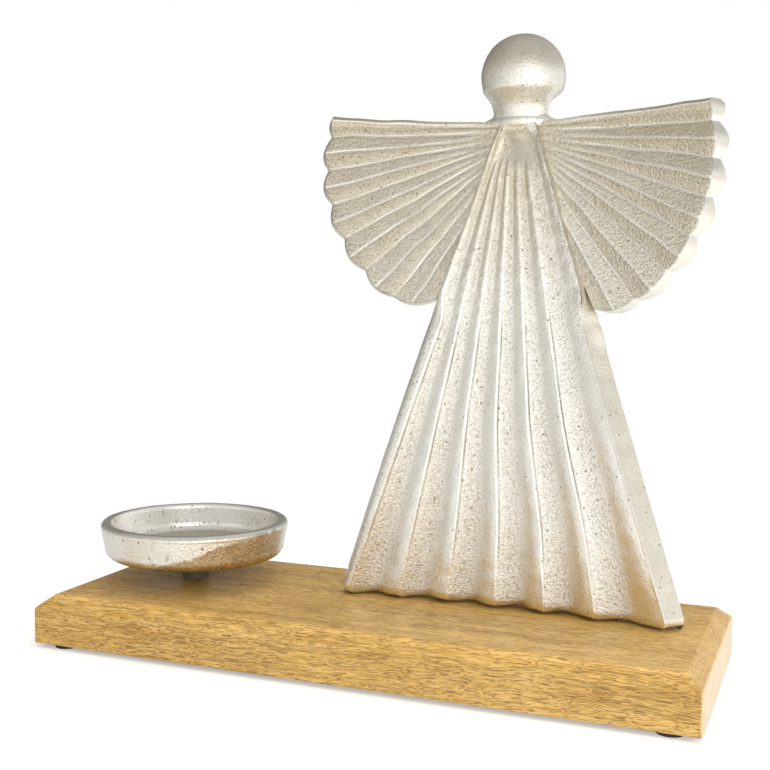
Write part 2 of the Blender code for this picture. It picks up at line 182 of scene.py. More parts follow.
# %% Sizes shared with the CAD model
METAL_FOOT = 0.0243
FIGURE_X = 0.0552
FIGURE_Y = 0.0140
SIDE_BOW = 0.0032
BEND_RADIUS_AT_FOOT = 0.5882
BEND_RADIUS_AT_WINGS = 0.2404
BEND_RISE = 0.140
FOOT_TURN = math.tan(math.radians(1.6))
DRESS_HEIGHT = 0.2145
DRESS_HALF_WIDTH = 0.0806
DRESS_TOP_HALF_WIDTH = 0.0097
POLE_HEIGHT = 0.2080
HEAD_HEIGHT = 0.2348
HEAD_BALL_RADIUS = 0.0184


def middle_plane(u, height):
    """How far forward the middle plane lies: u squared over twice the bend radius, and a turned foot."""
    rise = smooth_step(height, 0.0, BEND_RISE)
    curvature = (1 - rise) / BEND_RADIUS_AT_FOOT + rise / BEND_RADIUS_AT_WINGS
    return curvature * u * u / 2 + FOOT_TURN * (1 - rise) * u


def bent(u, depth, height):
    """Points of the casting, with depth measured straight forward."""
    x = FIGURE_X + u + SIDE_BOW * (height / HEAD_HEIGHT) ** 2
    return np.stack([x, FIGURE_Y - middle_plane(u, height) - depth, METAL_FOOT + height], axis=-1)


def bent_square(u, depth, height):
    """Points of the casting, with depth measured square to the bent plane by its slope over a small step."""
    step = 1e-5
    slope = (middle_plane(u + step, height) - middle_plane(u - step, height)) / (2 * step)
    length = np.sqrt(1 + slope ** 2)
    points = bent(u, depth * 0, height)
    points[..., 0] -= depth * slope / length
    points[..., 1] -= depth / length
    return points


def slab_faces(rows, columns):
    """Quads of a slab: a front sheet, a back sheet of the same size, and a strip round their border."""
    count = rows * columns
    front = grid_quads(rows, columns)
    back = grid_quads(rows, columns, first=count)[:, ::-1]
    index = np.arange(count).reshape(rows, columns)
    border = np.concatenate([index[0, :-1], index[:-1, -1], index[-1, :0:-1], index[:0:-1, 0]])
    after = np.roll(border, -1)
    rim = np.stack([after, border, border + count, after + count], axis=-1)
    return front, back, rim


print("top of the head at", round(1000 * (METAL_FOOT + HEAD_HEIGHT + HEAD_BALL_RADIUS), 1), "mm")

# %% [markdown]
# ## Dress: grid and crests
# The dress is a fan of seven pleats that fade out under the neck. The columns of its grid are
# crowded round the crests, so that fine marks there keep their shape, and a flank closes each side.
# The inner crests lean a little to the left above the foot, as they do in the real casting.

# %% Dress: grid and crests
PLEAT_COUNT = 7
LAST_CREST = PLEAT_COUNT - 1
PLEAT_PITCH = 0.0231
PLEAT_SHIFT = -0.0035
FLANK_WIDTH = 0.0068
FLANK_WIDTH_AT_WINGS = 0.0026
FLANK_CHANGE = (0.126, 0.144)
CREST_LEANS = (0.0, 0.0018, 0.0032, 0.0036, 0.0032)
LEAN_HEIGHTS = (0.030, 0.090)
BIB_HEIGHTS = (0.1900, 0.2020)
OUTER_PHASES = (2.3, 2.9)
COLUMNS_PER_PLEAT = 26
COLUMN_CROWDING = 0.62
FLANK_COLUMNS = 8
DRESS_ROWS = 180
ROW_CROWDING = 0.10
LOWEST_ROWS = (0.0004, 0.0010, 0.0018)


def dress_half_width(height):
    """Half the width of the dress: a straight taper from the foot to the top."""
    return DRESS_HALF_WIDTH + (DRESS_TOP_HALF_WIDTH - DRESS_HALF_WIDTH) * height / DRESS_HEIGHT


def dress_grid():
    """Phases and heights: phase -1 to 0 is the left flank, 0 to 6 the pleats, 6 to 7 the right flank.

    A sine taken off each even step crowds the columns round the crests and the rows at both ends."""
    even = np.linspace(0, LAST_CREST, LAST_CREST * COLUMNS_PER_PLEAT + 1)
    crowded = even - COLUMN_CROWDING * np.sin(2 * np.pi * even) / (2 * np.pi)
    flank = np.linspace(0, 1, FLANK_COLUMNS + 1)[1:]
    phase = np.concatenate([-flank[::-1], crowded, LAST_CREST + flank])
    share = np.linspace(0, 1, DRESS_ROWS)
    height = DRESS_HEIGHT * (share - ROW_CROWDING * np.sin(2 * np.pi * share) / (2 * np.pi))
    height[1:4] = LOWEST_ROWS
    return np.meshgrid(phase, height)


def crest_places(height):
    """Distance u of each crest: the outer two beside the flanks, the others a pitch apart at the foot."""
    half = dress_half_width(height)
    change = smooth_step(height, *FLANK_CHANGE)
    outer = half - (FLANK_WIDTH + (FLANK_WIDTH_AT_WINGS - FLANK_WIDTH) * change)
    lean = smooth_step(height, *LEAN_HEIGHTS)
    taper = half / DRESS_HALF_WIDTH
    inner = [taper * (PLEAT_SHIFT + PLEAT_PITCH * (k - 2)) - lean * CREST_LEANS[k] for k in range(5)]
    return np.stack([-half, -outer] + inner + [outer, half], axis=-1)


def dress_places():
    """Where each grid point lies: u runs evenly between the crests, and fade is 0 on the smooth bib."""
    phase, height = dress_grid()
    crests = crest_places(height)
    left = np.clip(np.floor(phase).astype(int), -1, LAST_CREST)
    part = phase - left
    u_left = np.take_along_axis(crests, (left + 1)[..., None], -1)[..., 0]
    u_right = np.take_along_axis(crests, (left + 2)[..., None], -1)[..., 0]
    pitch = u_right - u_left
    outer = smooth_step(np.abs(phase - LAST_CREST / 2), *OUTER_PHASES)
    fade = 1 - (1 - outer) * smooth_step(height, *BIB_HEIGHTS)
    half = dress_half_width(height)
    return SimpleNamespace(
        phase=phase, height=height, crests=crests, part=part, u=u_left + pitch * part, outer=outer,
        fade=fade, half=half, relief=half / DRESS_HALF_WIDTH * fade,
        pleated=(phase >= 0) & (phase <= LAST_CREST), flank=np.where(phase < 0, -phase, phase - LAST_CREST),
        past_crest=np.where(part < 0.5, part, part - 1) * pitch)


at = dress_places()
print("dress grid", at.phase.shape[0], "rows by", at.phase.shape[1], "columns")

# %% [markdown]
# ## Dress: marks along the crests
# A fine bead stands along each crest, where the sand filled in a sharp edge, and a hairline groove
# runs to the right of it. Both are bell curves of the distance past the crest. Real beads are
# patchy, so noise along the crest makes this one come and go.

# %% Dress: marks along the crests
BEAD_HALF_WIDTH = 0.00075
BEAD_HEIGHT = 0.00028
BEAD_LOWERS = (0.120, 0.160)
OUTER_BEAD_ENDS = (0.150, 0.185)
BEAD_PATCH = 0.009
GROOVE_PLACE = 0.00105
GROOVE_HALF_WIDTH = 0.00026
GROOVE_DEPTH = 0.00045
GROOVE_STARTS = (0.004, 0.045)
GROOVE_ENDS = (0.115, 0.145)


def crest_marks(at):
    """Bead and groove from 0 to about 1: bell curves of distance, faded in and out along the height."""
    bead = np.exp(-(at.past_crest / BEAD_HALF_WIDTH) ** 2) * at.fade
    bead = bead * (1 - 0.6 * smooth_step(at.height, *BEAD_LOWERS))
    bead = bead * (1 - 0.85 * at.outer * smooth_step(at.height, *OUTER_BEAD_ENDS))
    along = np.stack([at.phase * 0.03, 0 * at.phase, at.height], axis=-1)
    bead = bead * (0.72 + 0.40 * lattice_noise(along, BEAD_PATCH, 15))
    groove = np.exp(-((at.past_crest - GROOVE_PLACE) / GROOVE_HALF_WIDTH) ** 2)
    groove = groove * smooth_step(at.height, *GROOVE_STARTS) * (1 - smooth_step(at.height, *GROOVE_ENDS))
    return bead, groove


bead, groove = crest_marks(at)
print("bead up to", round(1000 * BEAD_HEIGHT * bead.max(), 2), "mm high")

# %% [markdown]
# ## Dress: arch under the neck
# At the top the outer pleats rise into an arch with a hollow between its legs. Each leg is a bell
# curve across the outer crest, the hollow is a wider and flatter one, and a low step closes the top.

# %% Dress: arch under the neck
ARCH_RISE = 0.0013
LEG_STARTS = (0.175, 0.203)
LEG_ENDS = (0.2070, 0.2135)
LEG_WIDTHS = (0.0016, 0.0026)
ARCH_TOP_RISE = 0.0014
ARCH_TOP_STARTS = (0.2085, 0.2128)
HOLLOW_DEPTH = 0.0017
HOLLOW_SHIFT = -0.001
HOLLOW_WIDTH_SHARE = 0.62
HOLLOW_STARTS = (0.194, 0.2065)
HOLLOW_ENDS = (0.2080, 0.2140)


def arch_forms(at):
    """Shares from 0 to 1 of the legs' rise, the legs, the hollow and the top of the arch."""
    to_leg = np.minimum(np.abs(at.u - at.crests[..., 1]), np.abs(at.u - at.crests[..., -2]))
    leg_rise = smooth_step(at.height, *LEG_STARTS) * (1 - 0.9 * smooth_step(at.height, *LEG_ENDS))
    legs = np.exp(-(to_leg / np.where(at.u < 0, *LEG_WIDTHS)) ** 2) * leg_rise
    hollow = np.exp(-(np.abs(at.u - HOLLOW_SHIFT) / (HOLLOW_WIDTH_SHARE * at.half)) ** 3)
    hollow = hollow * smooth_step(at.height, *HOLLOW_STARTS) * (1 - smooth_step(at.height, *HOLLOW_ENDS))
    top = smooth_step(at.height, *ARCH_TOP_STARTS) * (1 - at.outer)
    return leg_rise, legs, hollow, top


leg_rise, legs, hollow, arch_top = arch_forms(at)
print("arch from", LEG_STARTS[0], "to", ARCH_TOP_STARTS[1], "m over the foot")

# %% [markdown]
# ## Dress: depth of the two sheets
# Across each pleat the front runs down from a crest into a valley and up to the next crest, and the
# moulding sand rounded both. The back follows it more shallowly. The right flank is ground straight,
# and the left one is rolled over. The lower edge is worn round.

# %% Dress: depth of the two sheets
VALLEY_DEPTH = 0.0043
VALLEY_PLACE = 0.42
VALLEY_EASE = 0.50
SLOPE_POWERS = (1.2, 1.8)
FRONT_PLEAT = 0.0055
BACK_PLEAT = 0.0025
EDGE_LAND = 0.0006
ROLL_POWERS = (2.2, 0.7)
CORNER_ROUND = 0.0045
CORNER_SHARES = (1.1, 0.6)


def pleat_rise(part):
    """0 in the valley and 1 on the crest: 1 less a power of the way down, with an eased valley."""
    right = 1 - (np.clip(part, 0, VALLEY_PLACE) / VALLEY_PLACE) ** SLOPE_POWERS[0]
    left = 1 - ((1 - np.clip(part, VALLEY_PLACE, 1)) / (1 - VALLEY_PLACE)) ** SLOPE_POWERS[1]
    rise = np.where(part < VALLEY_PLACE, right, left)
    return (np.hypot(rise, VALLEY_EASE) - VALLEY_EASE) / (math.hypot(1, VALLEY_EASE) - VALLEY_EASE)


def dress_depths(at):
    """Depth forward of the middle plane and back of it: valley plus pleat, or the slope of a flank."""
    ridge = pleat_rise(at.part)
    front = VALLEY_DEPTH + FRONT_PLEAT * at.relief * ridge + BEAD_HEIGHT * bead - GROOVE_DEPTH * groove
    front += ARCH_RISE * legs - HOLLOW_DEPTH * hollow + ARCH_TOP_RISE * arch_top
    back = VALLEY_DEPTH + BACK_PLEAT * at.relief * ridge
    rolled = (1 - np.clip(at.flank, 0, 1) ** ROLL_POWERS[0]) ** ROLL_POWERS[1]
    slope = np.where(at.phase < 0, rolled, 1 - at.flank)
    front_border = VALLEY_DEPTH + FRONT_PLEAT * at.relief + ARCH_RISE * leg_rise
    back_border = VALLEY_DEPTH + BACK_PLEAT * at.relief
    front = np.where(at.pleated, front, EDGE_LAND + (front_border - EDGE_LAND) * slope)
    back = np.where(at.pleated, back, EDGE_LAND + (back_border - EDGE_LAND) * (1 - at.flank))
    return front, back


def worn_foot(at, front, back):
    """The lower corner set in by a quarter circle of the height, narrower and thinner to the edge."""
    drop = 0.94 * np.clip(CORNER_ROUND - at.height, 0, None)
    inset = CORNER_ROUND - np.sqrt(CORNER_ROUND ** 2 - drop ** 2)
    return at.u * (1 - inset / at.half), front - CORNER_SHARES[0] * inset, back - CORNER_SHARES[1] * inset


front, back = dress_depths(at)
print("front of the dress up to", round(1000 * front.max(), 1), "mm forward")

# %% [markdown]
# ## Dress: where the skin is rough, rubbed and dull, and painted shade
# The right side of each pleat kept the sand's grain, its left side was rubbed, and the beads are
# rubbed bright, partly a painted highlight. The grooves are darker, painted shade lies under the neck
# and a painted contact shadow along the foot, and the skin gets duller towards the top. Each of
# these is one number per point, which the metal's material reads.

# %% Dress: where the skin is rough, rubbed and dull, and painted shade
DULL_HEIGHTS = (0.125, 0.205)
LEG_GRAIN_HALF_WIDTH = 0.0040
LEG_GRAIN_STARTS = (0.10, 0.16)
SHADE_CENTER = (-0.0035, 0.2085)
SHADE_SIZE = (0.0040, 0.0026)
FOOT_SHADOW = (0.0002, 0.0014)


def dress_values(at, u):
    """Grain, burnish and painted highlight, dark lines and painted shade, patina and bumps: steps across the
    pleat, bell curves and fades in height.
    """
    ridge = pleat_rise(at.part)
    right_leg = np.exp(-((u - at.crests[..., -2]) / LEG_GRAIN_HALF_WIDTH) ** 2)
    right_leg = right_leg * smooth_step(at.height, *LEG_GRAIN_STARTS)
    grain = 0.50 + 0.40 * smooth_step(at.part, 0.08, 0.30)
    grain = 0.25 + grain * (1 - smooth_step(at.part, 0.42, 0.60))
    grain = np.maximum(grain, 0.8 * ridge * smooth_step(at.height, 0.11, 0.15))
    grain = (0.45 + (grain - 0.45) * at.fade) * (1 - 0.6 * hollow) + 0.5 * right_leg
    patina = 0.85 * smooth_step(at.height, *DULL_HEIGHTS) * (1 - 0.8 * right_leg)
    # painted shade under the neck: a bell curve up and to the left, over the hollow
    across = u - SHADE_CENTER[0]
    up = at.height - SHADE_CENTER[1] + 0.35 * across
    shade = np.exp(-(across / SHADE_SIZE[0]) ** 2 - (up / SHADE_SIZE[1]) ** 2)
    # darker in the grooves, painted shade under the neck, and a painted contact shadow along the foot
    dark_lines_and_painted_shade = np.where(at.pleated, groove + 0.9 * shade, 0.0) + 0.8 * (1 - smooth_step(at.height, *FOOT_SHADOW))
    left_flank = at.phase < 0
    bumps = ridge * smooth_step(at.height, 0.09, 0.15) * at.fade + 1.2 * right_leg
    return {"grain": np.where(at.pleated, grain, np.where(left_flank, 0.30 + 0.6 * at.flank, 0.18)),
            # beads rubbed bright, and painted paler as a painted highlight
            "burnish_and_highlight": np.where(at.pleated, bead, 0.0), "dark_lines_and_painted_shade": dark_lines_and_painted_shade,
            "patina": np.where(at.pleated, patina, np.where(left_flank, 0.6 * patina, 0.55)),
            "bumps": np.where(at.pleated, bumps, 0.0)}


print("grain up to", round(dress_values(at, at.u)["grain"].max(), 2))

# %% [markdown]
# ## Dress: nicks, burr and swells
# Two nicks near the foot mark the left edge, and a burr was left on the right edge below the wing.
# Both move points sideways. Swells from the sand move them in depth, more where the skin is bumpy.
# Then everything is bent into place, and the two sheets are sewn along their border.

# %% Dress: nicks, burr and swells
NICK_HEIGHTS = (0.0052, 0.0108)
NICK_DEPTH = 0.0012
NICK_HALF_HEIGHT = 0.0011
BURR_HEIGHT = 0.126
BURR_HALF_HEIGHT = 0.008
BURR_SIZE = 0.0009
TOE_LIFT = 0.0005
TOE_ROUND = 0.0035


def nicked(at, u):
    """Sideways shifts: a bell curve of height for each nick, and noise under a bell curve for the burr."""
    nick = sum(np.exp(-((at.height - place) / NICK_HALF_HEIGHT) ** 2) for place in NICK_HEIGHTS)
    u = u + NICK_DEPTH * nick * smooth_step(-at.phase, 0.35, 0.95)
    burr = np.exp(-((at.height - BURR_HEIGHT) / BURR_HALF_HEIGHT) ** 2) * smooth_step(at.phase, 6.3, 7.0)
    upright = np.stack([0 * u, 0 * u, at.height], axis=-1)
    return u + BURR_SIZE * burr * lattice_noise(upright, 0.0022, 9)


def make_dress():
    """Points, quads and values of the dress: both sheets bent into place and moved by lattice noise."""
    u, face_depth, rear_depth = worn_foot(at, front, back)
    values = dress_values(at, u)
    bumps = values.pop("bumps")
    u = nicked(at, u)
    face = bent(u, face_depth, at.height)
    rear = bent(u, -rear_depth, at.height)
    swell = lattice_noise(face, 0.011, 3) * 0.00022 + lattice_noise(face, 0.0042, 4) * 0.00013
    face[..., 1] -= swell + lattice_noise(face, 0.0030, 6) * 0.00048 * bumps
    near_toe = 1 - smooth_step(at.height, 0.0, TOE_ROUND)
    face[..., 2] += TOE_LIFT * (1 + lattice_noise(face, 0.005, 14)) * near_toe
    rear[..., 1] += lattice_noise(rear, 0.009, 5) * 0.00025
    quads = np.concatenate(slab_faces(*u.shape))
    points = np.concatenate([face.reshape(-1, 3), rear.reshape(-1, 3)])
    rear_values = {"grain": values["grain"], "burnish_and_highlight": 0 * u, "dark_lines_and_painted_shade": 0 * u, "patina": values["patina"]}
    values = {key: np.concatenate([values[key].ravel(), rear_values[key].ravel()]) for key in values}
    return points, quads, values


dress_parts = make_dress()
print("dress", len(dress_parts[0]), "points")

# %% [markdown]
# ## Wings: the fan
# Each wing is a fan of seven lobes about a pole behind the throat. A position counts lobes down from
# the top edge, and the fan's angle follows it, each lobe a little wider than the one above. A lobe is
# a shallow ridge: flat at the root and highest at the rim, where its end is scalloped.

# %% Wings: the fan
ROOT_RADIUS = 0.006
LOBE_COUNT = 7
TIP_ANGLE = math.radians(7.7)
TOP_LOBE_ANGLE = math.radians(6.1)
LOBE_ANGLE = math.radians(9.9)
LOBE_GROWTH = 1.035
LOBE_ARC = 1.1
TOP_LOBE_START = 0.3
TOP_RIDGE_PLACE = 0.2
RIDGE_EASE = 0.09
COLUMNS_PER_LOBE = 30
LOBE_CROWDING = 0.72


def fan_angles(position):
    """Fan angle at a position counted in lobes: each lobe is a little wider than the one above it."""
    steps = [TOP_LOBE_ANGLE] + [LOBE_ANGLE * LOBE_GROWTH ** k for k in range(LOBE_COUNT - 1)]
    bounds = TIP_ANGLE - np.concatenate([[0.0], np.cumsum(steps)])
    return np.interp(position, np.arange(LOBE_COUNT + 1), bounds)


def lobe_parts(position):
    """Lobe number, part across the lobe, and the part at which its crest lies."""
    lobe = np.clip(np.floor(position), 0, LOBE_COUNT - 1)
    return lobe, position - lobe, np.where(lobe == 0, TOP_RIDGE_PLACE, 0.5)


def fan_profile(position):
    """Ridge share and rim bulge share at a position: an eased ramp to the crest, and a shallow arc."""
    lobe, part, crest = lobe_parts(position)
    rise = np.where(part <= crest, part / crest, (1 - part) / (1 - crest))
    along = np.where(lobe == 0, TOP_LOBE_START + (1 - TOP_LOBE_START) * part, part)
    bulge = (np.cos(LOBE_ARC * (2 * along - 1)) - math.cos(LOBE_ARC)) / (1 - math.cos(LOBE_ARC))
    return eased_ramp(rise, RIDGE_EASE), bulge


def fan_positions():
    """Even positions less a sine, which crowds them round each crest and notch."""
    even = np.linspace(0, LOBE_COUNT, LOBE_COUNT * COLUMNS_PER_LOBE + 1)
    crowded = even - LOBE_CROWDING * np.sin(4 * np.pi * even) / (4 * np.pi)
    return np.interp(crowded, [0, 0.5, 1, LOBE_COUNT], [0, TOP_RIDGE_PLACE, 1, LOBE_COUNT])


print("fan from", round(math.degrees(fan_angles(0)), 1), "to", round(math.degrees(fan_angles(LOBE_COUNT)), 1))

# %% [markdown]
# ## Wings: beads
# A fine bead runs out along every crest and notch, with a darker line just below it. As on the
# dress, both are bell curves of distance, and noise makes them patchy.

# %% Wings: beads
WING_RADIUS = 0.0890
WING_BEAD_HALF_WIDTH = 0.00045
WING_BEAD_HEIGHT = 0.00028
DARK_LINE_PLACE = 0.0010
DARK_LINE_HALF_WIDTH = 0.0004
FAR_AWAY = 1.0


def wing_beads(position, share):
    """Bead and darker line from 0 to about 1: bell curves of the distance to a line, measured along the arc.
    """
    lobe, part, crest = lobe_parts(position)
    reach = ROOT_RADIUS + (WING_RADIUS - ROOT_RADIUS) * share
    width = (fan_angles(lobe) - fan_angles(lobe + 1)) * reach
    to_crest = np.abs(part - crest) * width
    at_end = (position < 0.5) | (position > LOBE_COUNT - 0.5)
    to_notch = np.where(at_end, FAR_AWAY, np.minimum(part, 1 - part) * width)
    bead = np.exp(-(to_crest / WING_BEAD_HALF_WIDTH) ** 2) + np.exp(-(to_notch / WING_BEAD_HALF_WIDTH) ** 2)
    below = np.where(part > crest, part - crest, part) * width
    dark_line = np.exp(-((below - DARK_LINE_PLACE) / DARK_LINE_HALF_WIDTH) ** 2)
    patchy = lattice_noise(np.stack([position * 0.02, share * 0.09, 0 * share], axis=-1), 0.011, 13)
    run = smooth_step(share, 0.02, 0.35) * (0.72 + 0.35 * patchy)
    return bead * run, dark_line * run


print("each wing has", 2 * LOBE_COUNT - 1, "beads, up to", 1000 * WING_BEAD_HEIGHT, "mm high")

# %% [markdown]
# ## Wings: the two sheets
# The grid runs from the top edge down to the dress one way and from root to rim the other. The
# front and back sheets are sewn along their border, and that strip is the ground end. Its draft
# and small chamfer are those that let the pattern leave the sand.

# %% Wings: the two sheets
SHOULDER_RISE = 0.0063
SHOULDER_FADE = 0.48
WING_RADIUS_FALL = 0.020
WING_LONGEST_ANGLE = math.radians(-40.0)
LAST_LOBE_SHORT = {-1: 0.0085, 1: 0.0045}
LOBE_BULGE = 0.0025
WING_HALF_THICKNESS = 0.0032
FRONT_RIDGE = 0.0030
BACK_RIDGE = 0.0018
TIP_DRAFT = math.tan(math.radians(8.0))
WING_ROWS = 31
RIM_CHAMFER = 0.0004
WANDER = 0.009


def wandering_angles(position, share, side):
    """The fan's angles plus a slow noise, which fades out at the root and the rim."""
    place = np.stack([position * 0.012, share * 0.09, 0 * share + 0.05 * side], axis=-1)
    wander = WANDER * lattice_noise(place, 0.013, 12)
    return fan_angles(position) + wander * smooth_step(share, 0.0, 0.2) * smooth_step(1 - share, 0.0, 0.1)


def wing_radii(position, angle, bulge, side):
    """Length of the wing along each line: less by the cosine of the turn from its longest line."""
    radius = WING_RADIUS - WING_RADIUS_FALL * (1 - np.cos(angle - WING_LONGEST_ANGLE)) + LOBE_BULGE * bulge
    return radius - LAST_LOBE_SHORT[side] * np.clip(position - (LOBE_COUNT - 1), 0, 1)


def wing_sheets(side):
    """Front and back of a wing: straight fan lines, thickened square to the bent middle plane."""
    share = np.append(np.linspace(0, 1, WING_ROWS - 1), 1.0)
    position, share = np.meshgrid(fan_positions(), share)
    at_rim = np.zeros(share.shape, bool)
    at_rim[-1] = True
    angle = wandering_angles(position, share, side)
    ridge, bulge = fan_profile(position)
    radius = wing_radii(position, angle, bulge, side)
    line_bead, dark_line = wing_beads(position, share)
    sheets = []
    for sign, relief, bead_height in ((1, FRONT_RIDGE, WING_BEAD_HEIGHT), (-1, BACK_RIDGE, 0.0)):
        thickness = WING_HALF_THICKNESS + relief * ridge * share - RIM_CHAMFER * at_rim
        thickness = thickness + bead_height * line_bead
        reach = radius - sign * TIP_DRAFT * thickness - RIM_CHAMFER * ~at_rim
        along = ROOT_RADIUS + (reach - ROOT_RADIUS) * share
        height = POLE_HEIGHT + along * np.sin(angle) + SHOULDER_RISE * SHOULDER_FADE ** position * (1 - share)
        sheets.append(bent_square(side * along * np.cos(angle), sign * thickness, height))
    return position, share, line_bead, dark_line, at_rim, sheets


def make_wing(side):
    """Points, quads and values of a wing; the left wing's quads are turned, because it is mirrored."""
    position, share, line_bead, dark_line, at_rim, (face, rear) = wing_sheets(side)
    face[..., 1] -= lattice_noise(face, 0.008, 7) * 0.00018 * smooth_step(share, 0, 0.2)
    rear[..., 1] += lattice_noise(rear, 0.009, 8) * 0.00025
    quads = np.concatenate(slab_faces(*position.shape))
    if side < 0:
        quads = quads[:, ::-1]
    part = position - np.floor(position)
    points = np.concatenate([face.reshape(-1, 3), rear.reshape(-1, 3)])
    grain = 1.0 + 0.8 * smooth_step(part, 0.48, 0.56) * (1 - 0.5 * smooth_step(part, 0.6, 0.9))
    patina = 0.95 - 0.45 * position / LOBE_COUNT
    none = 0 * position
    pairs = {"grain": (np.where(at_rim, 0.05, grain), np.where(at_rim, 0.05, 0.9)),
             # beads rubbed bright and ground ends paler, partly a painted highlight and a painted reflection
             "burnish_and_highlight": (np.where(at_rim, 0.3, line_bead), none),
             # a darker line just below each bead
             "dark_lines_and_painted_shade": (np.where(at_rim, 0.0, 0.5 * dark_line), none),
             "patina": (np.where(at_rim, 0.4, patina), np.where(at_rim, 0.4, 0.6))}
    values = {key: np.concatenate([a.ravel(), b.ravel()]) for key, (a, b) in pairs.items()}
    return points, quads, values


left_wing, right_wing = make_wing(-1), make_wing(1)
print("wings", len(left_wing[0]), "and", len(right_wing[0]), "points")

# %% [markdown]
# ## Head
# The head is a plain ball on a short neck. It is a lathe form whose rings are flat ovals below the
# ball, because the neck was cast in the same shallow mould as the dress. A low collar runs round
# the foot of the neck and sinks into the dress, and the mould's seam left a thin web down both
# sides of the neck.

# %% Head
HEAD_STEPS = 80
NECK_TOP = 0.0063
NECK_SHIFT = 0.0011
NECK_WEB = 0.20
NECK_FLARE = 0.30
NECK_HALF_WIDTH = 0.0117
NECK_HALF_DEPTH = 0.0068
NECK_LENGTH = 0.0105
HEAD_SCALE = 0.998
HEAD_UNEVENNESS = 0.010
ROUGH_SPOT = np.array([0.0050, -0.0130, -0.0090])
ROUGH_SPOT_RADIUS = 0.0055
HEAD_GRAIN = 0.35
COLLAR = np.array([
    [0.0120, 0.0070, -0.0176], [0.0125, 0.0073, -0.0184], [0.0128, 0.0074, -0.0192],
    [0.0128, 0.0072, -0.0201], [0.0124, 0.0067, -0.0209], [0.0117, 0.0060, -0.0216],
    [0.0106, 0.0051, -0.0223], [0.0092, 0.0040, -0.0230], [0.0070, 0.0026, -0.0238]])


def head_profile():
    """Half width, half depth and height over the ball's middle: an arc, a decay to the neck, a collar."""
    angle = np.linspace(0, math.acos(-NECK_TOP / HEAD_BALL_RADIUS), 46)
    ball = HEAD_BALL_RADIUS * np.stack([np.sin(angle), np.sin(angle), np.cos(angle)], axis=-1)
    drop = np.linspace(0, NECK_LENGTH, 15)[1:]
    full = ball[-1, 0]
    wide = NECK_HALF_WIDTH + (full - NECK_HALF_WIDTH) * np.exp(-(drop / 0.0042) ** 1.3)
    deep = NECK_HALF_DEPTH + (full - NECK_HALF_DEPTH) * np.exp(-(drop / 0.0048) ** 1.3)
    neck = np.stack([wide, deep, -NECK_TOP - drop], axis=-1)
    return np.concatenate([ball, neck, COLLAR])


def cap_triangles(ring_size, first_center, last_ring):
    """Triangles that close a lathe form: the first ring to its centre point, and the last to the next."""
    column = np.arange(ring_size)
    after = (column + 1) % ring_size
    return np.concatenate([
        np.stack([np.full(ring_size, first_center), column, after], axis=-1),
        np.stack([np.full(ring_size, first_center + 1), last_ring + after, last_ring + column], axis=-1)])


def make_head():
    """Oval rings of the profile; a high power of the cosine draws out the web and the collar's ends."""
    profile = head_profile()
    turn = np.linspace(0, 2 * np.pi, HEAD_STEPS, endpoint=False)
    wide, deep, high = (profile[1:, k][:, None] for k in range(3))
    web = NECK_WEB * smooth_step(-high, 0.008, 0.013)
    flare = NECK_FLARE * smooth_step(-high, 0.0160, 0.0195)
    across = (1 - web) * np.cos(turn) + (web + flare) * np.cos(turn) ** 9
    points = np.stack([wide * across, deep * np.sin(turn), high + 0 * turn], axis=-1)
    points *= HEAD_SCALE + HEAD_UNEVENNESS * lattice_noise(points, 0.009, 11)[..., None]
    points[..., 0] -= NECK_SHIFT * smooth_step(-high, 0.004, 0.010)
    near_spot = np.exp(-(np.linalg.norm(points - ROUGH_SPOT, axis=-1) / ROUGH_SPOT_RADIUS) ** 2)
    grain = HEAD_GRAIN + 0.65 * near_spot
    patina = 0.20 + 0.55 * smooth_step(points[..., 2], -0.001, 0.006)
    center = bent(np.array(0.0), np.array(0.0), np.array(HEAD_HEIGHT))
    rows = len(points)
    ends = np.array([[0, 0, points[0, :, 2].mean()], [0, 0, profile[-1, 2]]])
    points = np.concatenate([points.reshape(-1, 3), ends]) + center
    quads = grid_quads(rows, HEAD_STEPS, wrap=True)[:, ::-1]
    triangles = cap_triangles(HEAD_STEPS, rows * HEAD_STEPS, (rows - 1) * HEAD_STEPS)
    none = np.zeros(len(points))
    values = {"grain": np.append(grain, [HEAD_GRAIN, HEAD_GRAIN]), "burnish_and_highlight": none, "dark_lines_and_painted_shade": none,
              "patina": np.append(patina, [0.9, 0.2])}
    return points, quads, triangles, values


head_parts = make_head()
print("head", len(head_parts[0]), "points")

# %% [markdown]
# ## Node helpers
# Every finish below is a small net of shader nodes. These helpers add one node each and return the
# socket that comes out of it, so a material reads like a sum: noise, then a range, then a mix.

# %% Node helpers
def link(tree, source, target):
    tree.links.new(source, target)


def set_or_link(tree, socket, value):
    """Puts a number or a colour straight into the socket, and links anything else to it."""
    if isinstance(value, (int, float)):
        socket.default_value = value
    elif isinstance(value, tuple):
        socket.default_value = (*value, 1.0)
    else:
        link(tree, value, socket)


def math_node(tree, operation, *values, clamp=False):
    node = tree.nodes.new("ShaderNodeMath")
    node.operation = operation
    node.use_clamp = clamp
    for socket, value in zip(node.inputs, values):
        set_or_link(tree, socket, value)
    return node.outputs[0]


def noise_node(tree, vector, scale=1.0, detail=3.0, roughness=0.6):
    node = tree.nodes.new("ShaderNodeTexNoise")
    link(tree, vector, node.inputs["Vector"])
    for key, value in (("Scale", scale), ("Detail", detail), ("Roughness", roughness)):
        set_or_link(tree, node.inputs[key], value)
    return node.outputs["Fac"]


def stretched(tree, place, scale):
    """The place times a scale for each axis; a small scale draws a pattern out along that axis."""
    node = tree.nodes.new("ShaderNodeMapping")
    node.inputs["Scale"].default_value = scale
    link(tree, place, node.inputs["Vector"])
    return node.outputs["Vector"]


